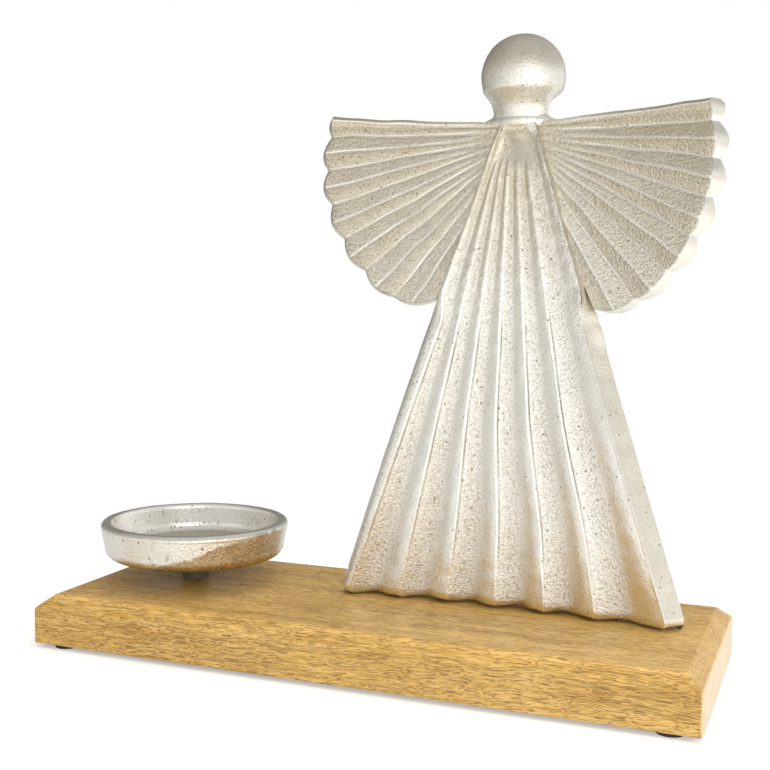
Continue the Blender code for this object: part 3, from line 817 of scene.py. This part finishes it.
def range_node(tree, value, low, high, to_low=0.0, to_high=1.0):
    node = tree.nodes.new("ShaderNodeMapRange")
    link(tree, value, node.inputs["Value"])
    for key, number in (("From Min", low), ("From Max", high), ("To Min", to_low), ("To Max", to_high)):
        node.inputs[key].default_value = number
    return node.outputs["Result"]


def mix_color(tree, factor, first, second):
    node = tree.nodes.new("ShaderNodeMix")
    node.data_type = "RGBA"
    for socket, value in zip((node.inputs[0], node.inputs[6], node.inputs[7]), (factor, first, second)):
        set_or_link(tree, socket, value)
    return node.outputs[2]


def dot_node(tree, vector, direction):
    """The dot product of a vector and a fixed direction."""
    node = tree.nodes.new("ShaderNodeVectorMath")
    node.operation = "DOT_PRODUCT"
    link(tree, vector, node.inputs[0])
    node.inputs[1].default_value = direction
    return node.outputs["Value"]


def axes_node(tree, vector):
    node = tree.nodes.new("ShaderNodeSeparateXYZ")
    link(tree, vector, node.inputs["Vector"])
    return node.outputs


def mix_shaders(tree, factor, first, second):
    node = tree.nodes.new("ShaderNodeMixShader")
    for socket, value in zip(node.inputs, (factor, first, second)):
        link(tree, value, socket)
    return node.outputs["Shader"]


print("node helpers ready")

# %% [markdown]
# ## Shared finish: cast metal skin
# Sand leaves metal with a fine grain, softer where it was rubbed, and with small pits. Both
# castings show it, so it is one node group. It takes the piece's own grain and burnish values and
# gives a tone for the colour, masks for pits and hollows, a roughness and a height for the bump.

# %% Shared finish: cast metal skin
BROAD_SCALE = 130.0
PIT_EDGES = (0.10, 0.26)
HOLLOW_LEVELS = (0.46, 0.37)
MOST_HOLLOWS = 0.8
SKIN_ROUGHNESS = 0.23


def new_group(name, inputs, outputs):
    """An empty node group with the named sockets, each a float or a vector, and its two end nodes."""
    tree = bpy.data.node_groups.new(name, "ShaderNodeTree")
    for direction, keys in (("INPUT", inputs), ("OUTPUT", outputs)):
        for key in keys:
            kind = "NodeSocketVector" if key == "Vector" else "NodeSocketFloat"
            tree.interface.new_socket(name=key, in_out=direction, socket_type=kind)
    return tree, tree.nodes.new("NodeGroupInput").outputs, tree.nodes.new("NodeGroupOutput").inputs


def cast_skin_group():
    """Grain and pits as height, tone and masks; noise below a level is a hollow, near a cell a pit."""
    tree, given, gives = new_group(
        "cast_skin", ("Vector", "Grain", "Burnish", "Grain Scale", "Pit Scale", "Pit Share"),
        ("Height", "Tone", "Roughness", "Pits", "Hollows"))
    fine = noise_node(tree, given["Vector"], given["Grain Scale"], 3.0, 0.66)
    broad = noise_node(tree, given["Vector"], BROAD_SCALE, 3.0, 0.6)
    cells = tree.nodes.new("ShaderNodeTexVoronoi")
    link(tree, given["Vector"], cells.inputs["Vector"])
    link(tree, given["Pit Scale"], cells.inputs["Scale"])
    near = range_node(tree, cells.outputs["Distance"], *PIT_EDGES, 1.0, 0.0)
    gate = tree.nodes.new("ShaderNodeSeparateColor")
    link(tree, cells.outputs["Color"], gate.inputs["Color"])
    chosen = math_node(tree, "LESS_THAN", gate.outputs["Red"], given["Pit Share"])
    pits = math_node(tree, "MULTIPLY", near, chosen)
    calm = math_node(tree, "SUBTRACT", 1.0, math_node(tree, "MULTIPLY", given["Burnish"], 0.8), clamp=True)
    grained = math_node(tree, "MULTIPLY", math_node(tree, "MULTIPLY", fine, given["Grain"]), calm)
    link(tree, math_node(tree, "SUBTRACT", grained, math_node(tree, "MULTIPLY", pits, 0.7)), gives["Height"])
    patch = range_node(tree, broad, 0.32, 0.68)
    speckle = math_node(tree, "MULTIPLY", range_node(tree, fine, 0.3, 0.7), 0.70)
    tone = math_node(tree, "ADD", math_node(tree, "MULTIPLY", patch, 0.30), speckle, clamp=True)
    link(tree, tone, gives["Tone"])
    rough = math_node(tree, "ADD", math_node(tree, "MULTIPLY", patch, 0.05), SKIN_ROUGHNESS)
    rough = math_node(tree, "ADD", rough, math_node(tree, "MULTIPLY", pits, 0.25))
    rough = math_node(tree, "SUBTRACT", rough, math_node(tree, "MULTIPLY", given["Burnish"], 0.10))
    link(tree, rough, gives["Roughness"])
    link(tree, pits, gives["Pits"])
    sparse = math_node(tree, "MINIMUM", given["Grain"], MOST_HOLLOWS)
    hollows = math_node(tree, "MULTIPLY", range_node(tree, fine, *HOLLOW_LEVELS), sparse)
    link(tree, math_node(tree, "MULTIPLY", hollows, calm), gives["Hollows"])
    return tree


cast_skin = cast_skin_group()
print("group", cast_skin.name, "with", len(cast_skin.nodes), "nodes")

# %% [markdown]
# ## Start of a material
# Each finish starts with a Principled shader. Patterns are placed by Object coordinates, which are
# plain metres from the origin on every piece, or by the values that a piece's own points carry.

# %% Start of a material
def new_material(name):
    """A material with its tree and its Principled shader."""
    material = bpy.data.materials.new(name)
    material.use_nodes = True
    tree = material.node_tree
    return material, tree, tree.nodes["Principled BSDF"]


def object_place(tree):
    """Object coordinates: metres from the origin on every piece."""
    return tree.nodes.new("ShaderNodeTexCoord").outputs["Object"]


def attribute_node(tree, name):
    node = tree.nodes.new("ShaderNodeAttribute")
    node.attribute_name = name
    return node.outputs["Fac"]


def bump_node(tree, shader, height, distance):
    """A bump of the given distance in metres, into the shader's normal."""
    node = tree.nodes.new("ShaderNodeBump")
    node.inputs["Distance"].default_value = distance
    node.inputs["Strength"].default_value = 1.0
    link(tree, height, node.inputs["Height"])
    link(tree, node.outputs["Normal"], shader.inputs["Normal"])


def skin_node(tree, place, grain_scale, pit_scale, pit_share, burnish_and_highlight):
    """The cast skin group with its own scales; the grain comes from the piece's points."""
    skin = tree.nodes.new("ShaderNodeGroup")
    skin.node_tree = cast_skin
    for key, value in (("Vector", place), ("Grain", attribute_node(tree, "grain")), ("Burnish", burnish_and_highlight),
                       ("Grain Scale", grain_scale), ("Pit Scale", pit_scale), ("Pit Share", pit_share)):
        set_or_link(tree, skin.inputs[key], value)
    return skin.outputs


print("material helpers ready")

# %% [markdown]
# ## Champagne cast metal
# The figure is a nickel-toned alloy: pale, warm, and between satin and bright. Metallic is 1, so
# the base colour is the colour of its reflections. Where patina lies it is duller and more golden.
# Hollows of the grain and pits are darker, and so are the grooves, the lines below the wing beads,
# the painted shade under the neck and the painted contact shadow along the foot. Burnished crests
# are paler than the skin, partly a painted highlight.

# %% Champagne cast metal
BRIGHT_SKIN = ((0.83, 0.81, 0.75), (0.95, 0.935, 0.89))
DULL_SKIN = ((0.575, 0.515, 0.39), (0.81, 0.74, 0.585))
HOLLOW_COLOR = (0.52, 0.48, 0.40)
PIT_COLOR = (0.44, 0.39, 0.31)
DARK_LINE_AND_SHADE_COLOR = (0.38, 0.35, 0.29)
BURNISH_HIGHLIGHT_COLOR = (0.92, 0.90, 0.84)
SKIN_BUMP = 0.0008


def figure_metal():
    """Tone mixes each skin's two colours, patina mixes the skins, and the masks lay the rest over it."""
    material, tree, shader = new_material("champagne_cast_metal")
    burnish_and_highlight = attribute_node(tree, "burnish_and_highlight")
    skin = skin_node(tree, object_place(tree), 950.0, 560.0, 0.07, burnish_and_highlight)
    patina = attribute_node(tree, "patina")
    bright = mix_color(tree, skin["Tone"], *BRIGHT_SKIN)
    color = mix_color(tree, patina, bright, mix_color(tree, skin["Tone"], *DULL_SKIN))
    color = mix_color(tree, math_node(tree, "MULTIPLY", skin["Hollows"], 0.75), color, HOLLOW_COLOR)
    color = mix_color(tree, skin["Pits"], color, PIT_COLOR)
    # darker grooves, lines below the wing beads, and painted shade under the neck and along the foot
    color = mix_color(tree, attribute_node(tree, "dark_lines_and_painted_shade"), color, DARK_LINE_AND_SHADE_COLOR)
    # crests and beads paler: rubbed bright, and partly a painted highlight
    link(tree, mix_color(tree, burnish_and_highlight, color, BURNISH_HIGHLIGHT_COLOR), shader.inputs["Base Color"])
    roughness = math_node(tree, "MULTIPLY_ADD", patina, 0.13, skin["Roughness"])
    link(tree, roughness, shader.inputs["Roughness"])
    shader.inputs["Metallic"].default_value = 1.0
    bump_node(tree, shader, skin["Height"], SKIN_BUMP)
    return material


figure_finish = figure_metal()
print(figure_finish.name, "with", len(figure_finish.node_tree.nodes), "nodes")

# %% [markdown]
# ## Angel: one casting
# Dress, wings and head came out of one mould, so there is one mesh, one finish and one piece. Their
# surfaces run into each other, which is how the joins of the real casting look.

# %% Angel: one casting
def make_angel():
    """One mesh of all the surfaces: each part's quads are moved on by the points before it."""
    head_points, head_quads, triangles, head_values = head_parts
    parts = [dress_parts, left_wing, right_wing, (head_points, head_quads, head_values)]
    starts = np.cumsum([0] + [len(p[0]) for p in parts[:-1]])
    points = np.concatenate([p[0] for p in parts])
    quads = np.concatenate([p[1] + start for p, start in zip(parts, starts)])
    values = {key: np.concatenate([p[2][key] for p in parts]) for key in head_values}
    return make_piece("angel", points, quads, figure_finish, values, triangles + starts[-1])


angel = make_angel()
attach(angel, "root")
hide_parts("angel_figure")

# %% [markdown]
# ## Candle dish: its profile
# The dish was cast and then turned and polished, so it is nearly a surface of revolution: a
# profile of lines and arcs, carried round an upright axis. It runs from the middle of the floor up
# the inner wall, over the rounded rim, down the outside and under it to the foot of the stem.

# %% Candle dish: its profile
DISH_PLACE = np.array([-0.1015, 0.0047, METAL_FOOT])
FLOOR_STEPS, COVE_STEPS, INNER_STEPS = 24, 8, 14
WALL_START = FLOOR_STEPS + COVE_STEPS
OUTSIDE_START = WALL_START + INNER_STEPS


def arc(center, radius, start, end, steps):
    """Points on an arc in the (radius, height) plane; angles in degrees from +radius to +height."""
    angle = np.radians(np.linspace(start, end, steps))
    return np.stack([center[0] + radius * np.cos(angle), center[1] + radius * np.sin(angle)], axis=-1)


def dish_profile():
    """Radius and height of each step, as straight runs and arcs from the floor's middle to the stem's."""
    return np.concatenate([
        np.linspace((0.0004, 0.0158), (0.0334, 0.0158), FLOOR_STEPS),
        arc((0.0340, 0.0188), 0.0030, -88, -8, COVE_STEPS),
        np.linspace((0.0372, 0.0194), (0.0405, 0.0268), INNER_STEPS),
        arc((0.0418, 0.0275), 0.0012, 172, 92, 7),
        np.linspace((0.0421, 0.0287), (0.0430, 0.0287), 3),
        arc((0.0432, 0.0265), 0.0022, 86, -10, 9),
        np.linspace((0.0453, 0.0260), (0.0437, 0.0172), 12),
        arc((0.0381, 0.0168), 0.0056, -8, -88, 12),
        np.linspace((0.0376, 0.0111), (0.0085, 0.0111), 14),
        arc((0.0082, 0.0095), 0.0016, 95, 175, 5),
        np.linspace((0.0066, 0.0088), (0.0066, 0.0000), 5),
        np.linspace((0.0060, 0.0), (0.0004, 0.0), 3)])


profile = dish_profile()
print("dish", round(2000 * profile[:, 0].max(), 1), "mm across,", len(profile), "steps in its profile")

# %% [markdown]
# ## Candle dish: its finish by place
# The floor was left matt, the rim is rubbed bright, and the underside is darker towards the stem. The
# inside is smoother than the outside. On one side of the outer wall the grain is rougher, and a painted
# golden reflection of the wood lies below a ragged line that climbs round the wall.

# %% Candle dish: its finish by place
DISH_STEPS = 220
FLOOR_EDGE = (0.0328, 0.0350)
RIM_HEIGHTS = (0.0268, 0.0284)
DARK_UNDERSIDE_RADII = (0.015, 0.030)
REFLECTION_LINE_LOW = 0.0125
REFLECTION_LINE_CLIMB = 0.0145
REFLECTION_TURNS = (-1.7, -0.3)
REFLECTION_END = (0.0, 0.25)
REFLECTION_EDGE = 0.0012
RAGGED = 0.0016
INSIDE_GRAIN = 0.22


def dish_values(points, turn):
    """Floor, rim, dark underside, grain and painted reflection from 0 to 1: smooth steps in radius, height
    and turn.
    """
    step = np.arange(len(profile))
    floor = np.where(step < WALL_START, 1 - smooth_step(profile[:, 0], *FLOOR_EDGE), 0)
    rim = smooth_step(profile[:, 1], *RIM_HEIGHTS)
    # darker underneath, towards the stem
    dark_underside = np.where(step < WALL_START, 0, 1 - smooth_step(profile[:, 0], *DARK_UNDERSIDE_RADII))
    outside = (step >= OUTSIDE_START)[:, None]
    around = np.arctan2(np.sin(turn), np.cos(turn))[None, :]
    # painted golden reflection of the wood on the outer wall, below a ragged line; it also gets rougher grain
    reflection_line = REFLECTION_LINE_LOW + REFLECTION_LINE_CLIMB * smooth_step(around, *REFLECTION_TURNS)
    reflection_line = reflection_line + RAGGED * lattice_noise(points, 0.0035, 23)
    painted_reflection = smooth_step(reflection_line - profile[:, 1:2], -REFLECTION_EDGE, REFLECTION_EDGE) * outside
    painted_reflection = painted_reflection * (1 - smooth_step(around, *REFLECTION_END))
    grain = INSIDE_GRAIN + 0.25 * outside + 0.55 * painted_reflection
    rings = {"floor": floor, "rim": rim, "dark_underside": dark_underside}
    values = {key: np.append(np.repeat(ring, DISH_STEPS), ring[[0, -1]]) for key, ring in rings.items()}
    values["grain"] = np.append(grain.ravel(), [INSIDE_GRAIN, INSIDE_GRAIN])
    values["painted_reflection"] = np.append(painted_reflection.ravel(), [0.0, 0.0])
    return values


print("the wall starts at step", WALL_START, "and the outside at step", OUTSIDE_START)

# %% [markdown]
# ## Candle dish: its surface
# A slow wave in the rim and some shallow dents keep the dish from looking like a perfect turning.
# They are noise on the radius, and fade towards the middle, where the floor stays flat.

# %% Candle dish: its surface
WAVE = 0.0018
DENT = 0.0022
CALM_RADII = (0.010, 0.030)


def make_dish(material):
    """The profile turned about Z: each ring's radius times 1 plus the waves and dents."""
    turn = np.linspace(0, 2 * np.pi, DISH_STEPS, endpoint=False)
    radius, high = profile[:, :1], profile[:, 1:]
    points = np.stack([radius * np.cos(turn), radius * np.sin(turn), high + 0 * turn], axis=-1)
    waves = WAVE * lattice_noise(points, 0.016, 21)
    waves = waves + DENT * lattice_noise(points * (1, 1, 0.3), 0.0055, 22)
    points *= 1 + (waves * smooth_step(radius, *CALM_RADII))[..., None]
    values = dish_values(points, turn)
    ends = np.array([[0, 0, profile[0, 1]], [0, 0, profile[-1, 1]]])
    points = points.reshape(-1, 3)
    triangles = cap_triangles(DISH_STEPS, len(points), len(points) - DISH_STEPS)
    quads = grid_quads(len(profile), DISH_STEPS, wrap=True)[:, ::-1]
    return make_piece("dish", np.concatenate([points, ends]) + DISH_PLACE, quads, material, values, triangles)


# %% [markdown]
# ## Polished cast metal
# The dish is the figure's alloy, polished. It shares the cast skin, with less roughness, larger pits
# and faint dark runs down the walls, which are noise drawn out along Z. The patch on the outer wall
# is painted golden, as the wood's reflection.

# %% Polished cast metal
POLISHED_SKIN = ((0.80, 0.77, 0.69), (0.97, 0.945, 0.885))
WOOD_REFLECTION_SKIN = ((0.20, 0.13, 0.045), (0.78, 0.60, 0.35))
DISH_PIT_COLOR = (0.42, 0.37, 0.29)
RUN_COLOR = (0.50, 0.46, 0.37)
RUN_SCALE = (330.0, 330.0, 110.0)
MATT_COLOR = (0.60, 0.56, 0.48)
DARK_UNDERSIDE_COLOR = (0.16, 0.14, 0.10)
RIM_COLOR = (0.92, 0.89, 0.83)
POLISH = 0.155


def dish_metal():
    """Skin by tone and painted golden reflection, then pits, runs, matt floor, dark underside and rim laid
    over it by masks.
    """
    material, tree, shader = new_material("polished_cast_metal")
    place = object_place(tree)
    floor, rim = attribute_node(tree, "floor"), attribute_node(tree, "rim")
    skin = skin_node(tree, place, 900.0, 420.0, 0.12, rim)
    # painted golden reflection of the wood
    painted_reflection = math_node(tree, "MULTIPLY", attribute_node(tree, "painted_reflection"), 0.9)
    color = mix_color(tree, skin["Tone"], *POLISHED_SKIN)
    color = mix_color(tree, painted_reflection, color, mix_color(tree, skin["Tone"], *WOOD_REFLECTION_SKIN))
    color = mix_color(tree, skin["Pits"], color, DISH_PIT_COLOR)
    runs = noise_node(tree, stretched(tree, place, RUN_SCALE))
    color = mix_color(tree, range_node(tree, runs, 0.60, 0.70, 0.0, 0.7), color, RUN_COLOR)
    color = mix_color(tree, floor, color, MATT_COLOR)
    # darker underneath, towards the stem
    color = mix_color(tree, attribute_node(tree, "dark_underside"), color, DARK_UNDERSIDE_COLOR)
    link(tree, mix_color(tree, rim, color, RIM_COLOR), shader.inputs["Base Color"])
    soft = math_node(tree, "SUBTRACT", skin["Roughness"], POLISH)
    soft = math_node(tree, "ADD", soft, math_node(tree, "MULTIPLY", floor, 0.30))
    link(tree, soft, shader.inputs["Roughness"])
    shader.inputs["Metallic"].default_value = 1.0
    bump_node(tree, shader, skin["Height"], SKIN_BUMP)
    return material


dish = make_dish(dish_metal())
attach(dish, "root")
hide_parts("candle_dish")

# %% [markdown]
# ## Oiled hardwood
# The base is one board of a honey-gold hardwood with its grain along X. Long soft bands come from
# noise drawn out along the grain, and short dark dashes are the open pores, crowded in places. A
# ripple bends them a little, as real fibres wander. The end on the right is painted paler, as painted
# light from the right side. A clear satin coat lies over it. The CAD solid already has the right
# shape, so it only gets this material.

# %% Oiled hardwood
RIPPLE_SCALE = (45.0, 90.0, 90.0)
RIPPLE_SIZE = (0.0, 0.005, 0.005)
BAND_SCALE = (5.0, 70.0, 110.0)
STREAK_SCALE = (30.0, 700.0, 700.0)
PORE_SCALE = (120.0, 3700.0, 3700.0)
CROWD_SCALE = (20.0, 160.0, 160.0)
WOOD_COLORS = ((0.53, 0.305, 0.068), (0.70, 0.435, 0.118))
PALE_STREAK = (0.78, 0.54, 0.22)
DARK_STREAK = (0.40, 0.21, 0.045)
PORE_COLOR = (0.25, 0.12, 0.03)
LIT_END_COLOR = (0.93, 0.74, 0.48)
LIT_END_X = (0.1490, 0.1497)


def rippled_place(tree):
    """Object place plus a slow colour noise times a few millimetres across the grain."""
    ripple = tree.nodes.new("ShaderNodeTexNoise")
    link(tree, stretched(tree, object_place(tree), RIPPLE_SCALE), ripple.inputs["Vector"])
    ripple.inputs["Scale"].default_value = 1.0
    wavy = tree.nodes.new("ShaderNodeVectorMath")
    wavy.operation = "MULTIPLY_ADD"
    link(tree, ripple.outputs["Color"], wavy.inputs[0])
    wavy.inputs[1].default_value = RIPPLE_SIZE
    link(tree, object_place(tree), wavy.inputs[2])
    return wavy.outputs["Vector"]


def hardwood():
    """Bands mix the two wood colours, streaks lay pale and dark over them, then the pores, and last the
    painted paler right end.
    """
    material, tree, shader = new_material("oiled_hardwood")
    place = rippled_place(tree)
    bands = noise_node(tree, stretched(tree, place, BAND_SCALE), 1.0, 3.0, 0.55)
    streaks = noise_node(tree, stretched(tree, place, STREAK_SCALE), 1.0, 3.0, 0.6)
    pores = noise_node(tree, stretched(tree, place, PORE_SCALE), 1.0, 2.0, 0.5)
    crowd = noise_node(tree, stretched(tree, place, CROWD_SCALE), 1.0, 2.0, 0.5)
    pores = math_node(tree, "ADD", pores, math_node(tree, "MULTIPLY", crowd, 0.16))
    color = mix_color(tree, range_node(tree, bands, 0.35, 0.65), *WOOD_COLORS)
    color = mix_color(tree, range_node(tree, streaks, 0.42, 0.72, 0.0, 0.5), color, PALE_STREAK)
    color = mix_color(tree, range_node(tree, streaks, 0.50, 0.28, 0.0, 0.45), color, DARK_STREAK)
    color = mix_color(tree, range_node(tree, pores, 0.62, 0.69, 0.0, 0.85), color, PORE_COLOR)
    # painted light: the right end is painted paler, as lit from the right side
    lit_end = range_node(tree, axes_node(tree, object_place(tree))["X"], *LIT_END_X, 0.0, 0.55)
    link(tree, mix_color(tree, lit_end, color, LIT_END_COLOR), shader.inputs["Base Color"])
    link(tree, range_node(tree, pores, 0.60, 0.70, 0.38, 0.60), shader.inputs["Roughness"])
    shader.inputs["Specular IOR Level"].default_value = 0.30
    shader.inputs["Coat Weight"].default_value = 0.30
    shader.inputs["Coat Roughness"].default_value = 0.14
    bump_node(tree, shader, range_node(tree, pores, 0.58, 0.70, 1.0, 0.0), 0.00015)
    return material


def finish_node(name, material):
    """Puts one material on a CAD node, and leaves its mesh and its place alone."""
    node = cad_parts[name]
    node.data.materials.clear()
    node.data.materials.append(material)
    print(name, "gets", material.name)


finish_node("wood_base", hardwood())

# %% [markdown]
# ## Rubber and steel
# The four pads are matt black rubber, a little dusty. The screws under the base are zinc-plated
# steel, and the plating is cloudy, so its gloss changes from place to place.

# %% Rubber and steel
RUBBER_COLORS = ((0.018, 0.018, 0.018), (0.040, 0.038, 0.036))
ZINC_COLORS = ((0.50, 0.52, 0.54), (0.68, 0.69, 0.70))


def black_rubber():
    """Fine noise between two near blacks, and a slight bump from the same noise."""
    material, tree, shader = new_material("black_rubber")
    dust = noise_node(tree, object_place(tree), 900.0)
    color = mix_color(tree, dust, *RUBBER_COLORS)
    link(tree, color, shader.inputs["Base Color"])
    shader.inputs["Roughness"].default_value = 0.75
    bump_node(tree, shader, dust, 0.0001)
    return material


def zinc_steel():
    """Noise between two bluish greys, and the same noise as the roughness."""
    material, tree, shader = new_material("zinc_plated_steel")
    cloud = noise_node(tree, object_place(tree), 700.0)
    color = mix_color(tree, cloud, *ZINC_COLORS)
    link(tree, color, shader.inputs["Base Color"])
    link(tree, range_node(tree, cloud, 0.3, 0.7, 0.28, 0.45), shader.inputs["Roughness"])
    shader.inputs["Metallic"].default_value = 1.0
    return material


rubber, steel = black_rubber(), zinc_steel()
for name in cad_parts:
    if "foot_pad" in name:
        finish_node(name, rubber)
    elif "screw" in name:
        finish_node(name, steel)

# %% [markdown]
# ## Floor
# The object stands on a plain pale table. Polished metal mirrors the table as much as the room, so
# for glossy rays the floor has a sheen that grows towards the bright side. The camera sees the
# floor turn to plain white away from the object, and close by it keeps the object's shadow.

# %% Floor
FLOOR_SIZE = 4.0
FLOOR_COLOR = (0.64, 0.64, 0.63, 1.0)
FLOOR_GLOW = 0.36
BRIGHT_SIDE = (0.80, -0.40, 0.0)
SHEEN_RANGE = (-0.50, 0.60, 0.0, 0.45)
WHITE_DISTANCES = (0.16, 0.34)


def floor_material():
    """Emission is a glow for the camera and a sheen for glossy rays; far away it mixes to white."""
    material, tree, shader = new_material("pale_floor")
    shader.inputs["Base Color"].default_value = FLOOR_COLOR
    shader.inputs["Roughness"].default_value = 0.9
    shader.inputs["Specular IOR Level"].default_value = 0.0
    shader.inputs["Emission Color"].default_value = (1.0, 1.0, 1.0, 1.0)
    path = tree.nodes.new("ShaderNodeLightPath").outputs
    compass = tree.nodes.new("ShaderNodeVectorMath")
    compass.operation = "NORMALIZE"
    link(tree, object_place(tree), compass.inputs[0])
    sheen = range_node(tree, dot_node(tree, compass.outputs["Vector"], BRIGHT_SIDE), *SHEEN_RANGE)
    seen = math_node(tree, "MULTIPLY", path["Is Camera Ray"], FLOOR_GLOW)
    mirrored = math_node(tree, "MULTIPLY", path["Is Glossy Ray"], sheen)
    link(tree, math_node(tree, "ADD", seen, mirrored), shader.inputs["Emission Strength"])
    apart = tree.nodes.new("ShaderNodeVectorMath")
    apart.operation = "LENGTH"
    link(tree, object_place(tree), apart.inputs[0])
    far = range_node(tree, apart.outputs["Value"], *WHITE_DISTANCES)
    far = math_node(tree, "MULTIPLY", far, path["Is Camera Ray"])
    white = tree.nodes.new("ShaderNodeEmission")
    surface = mix_shaders(tree, far, shader.outputs["BSDF"], white.outputs["Emission"])
    link(tree, surface, tree.nodes["Material Output"].inputs["Surface"])
    return material


def make_floor():
    """One square face at height 0."""
    corners = FLOOR_SIZE * np.array([[-1, -1, 0], [1, -1, 0], [1, 1, 0], [-1, 1, 0]], float)
    return make_piece("floor", corners, np.array([[0, 1, 2, 3]]), floor_material())


make_floor()

# %% [markdown]
# ## Room
# The room is what the metal reflects: bright to the right and the front, dim to the left. Mirrored
# in the metal, it is darker overhead and behind on the left, which gives the wings and the ball
# their shading. The camera itself sees plain white.

# %% Room
ROOM_COLORS = ((0.58, 0.56, 0.51), (1.0, 0.995, 0.98))
ROOM_RANGE = (-0.70, 0.05)
CEILING_RANGE = (0.22, 0.50, 1.0, 0.62)
DARK_SIDE = (-0.55, 0.83, 0.0)
DARK_RANGE = (0.60, 0.95, 1.0, 0.45)


def make_world():
    """Colour by the dot product with the bright side; for glossy rays, strength falls with height too."""
    world = bpy.data.worlds.new("studio")
    bpy.context.scene.world = world
    world.use_nodes = True
    tree = world.node_tree
    tree.nodes.clear()
    direction = tree.nodes.new("ShaderNodeTexCoord").outputs["Generated"]
    path = tree.nodes.new("ShaderNodeLightPath").outputs
    room = tree.nodes.new("ShaderNodeBackground")
    level = range_node(tree, dot_node(tree, direction, BRIGHT_SIDE), *ROOM_RANGE)
    link(tree, mix_color(tree, level, *ROOM_COLORS), room.inputs["Color"])
    ceiling = range_node(tree, axes_node(tree, direction)["Z"], *CEILING_RANGE)
    behind = range_node(tree, dot_node(tree, direction, DARK_SIDE), *DARK_RANGE)
    dimming = math_node(tree, "SUBTRACT", 1.0, math_node(tree, "MULTIPLY", ceiling, behind))
    dimming = math_node(tree, "MULTIPLY", dimming, path["Is Glossy Ray"])
    link(tree, math_node(tree, "SUBTRACT", 1.0, dimming), room.inputs["Strength"])
    white = tree.nodes.new("ShaderNodeBackground")
    white.inputs["Color"].default_value = (1.0, 1.0, 1.0, 1.0)
    seen = path["Is Camera Ray"]
    surface = mix_shaders(tree, seen, room.outputs["Background"], white.outputs["Background"])
    link(tree, surface, tree.nodes.new("ShaderNodeOutputWorld").inputs["Surface"])
    return world


print("world", make_world().name)

# %% [markdown]
# ## Lamps
# Four soft square lamps stand round the table. The key lamp is the one that the metal mirrors. The
# others light the wood and the floor at a plain level, and are kept out of reflections, so that no
# hard bright squares show in the castings.

# %% Lamps
def softbox(name, place, aim, size, power, glossy=True):
    """A square area lamp whose matrix holds its side, up and back axes, so that it faces a point."""
    data = bpy.data.lights.new(name, "AREA")
    data.size = size
    data.energy = power
    lamp = bpy.data.objects.new(name, data)
    bpy.context.scene.collection.objects.link(lamp)
    lamp.visible_glossy = glossy
    back = np.array(place, float) - np.array(aim, float)
    back /= np.linalg.norm(back)
    side = np.cross((0.0, 0.0, 1.0), back)
    side /= np.linalg.norm(side)
    matrix = np.eye(4)
    matrix[:3, :3] = np.stack([side, np.cross(back, side), back], axis=-1)
    matrix[:3, 3] = place
    lamp.matrix_world = matrix.T.tolist()
    print("lamp", name, power, "W")


softbox("key", (0.90, -1.10, 0.25), (0.0, 0.0, 0.12), 1.0, 3.0)
softbox("side", (1.15, -0.45, 0.60), (0.0, 0.0, 0.05), 0.7, 8.0, glossy=False)
softbox("top", (0.1, 0.1, 1.4), (0.0, 0.0, 0.1), 0.8, 5.0, glossy=False)
softbox("fill", (-0.35, -1.3, 0.30), (-0.05, 0.0, 0.0), 0.8, 3.5, glossy=False)
bpy.context.scene.view_settings.view_transform = "Standard"
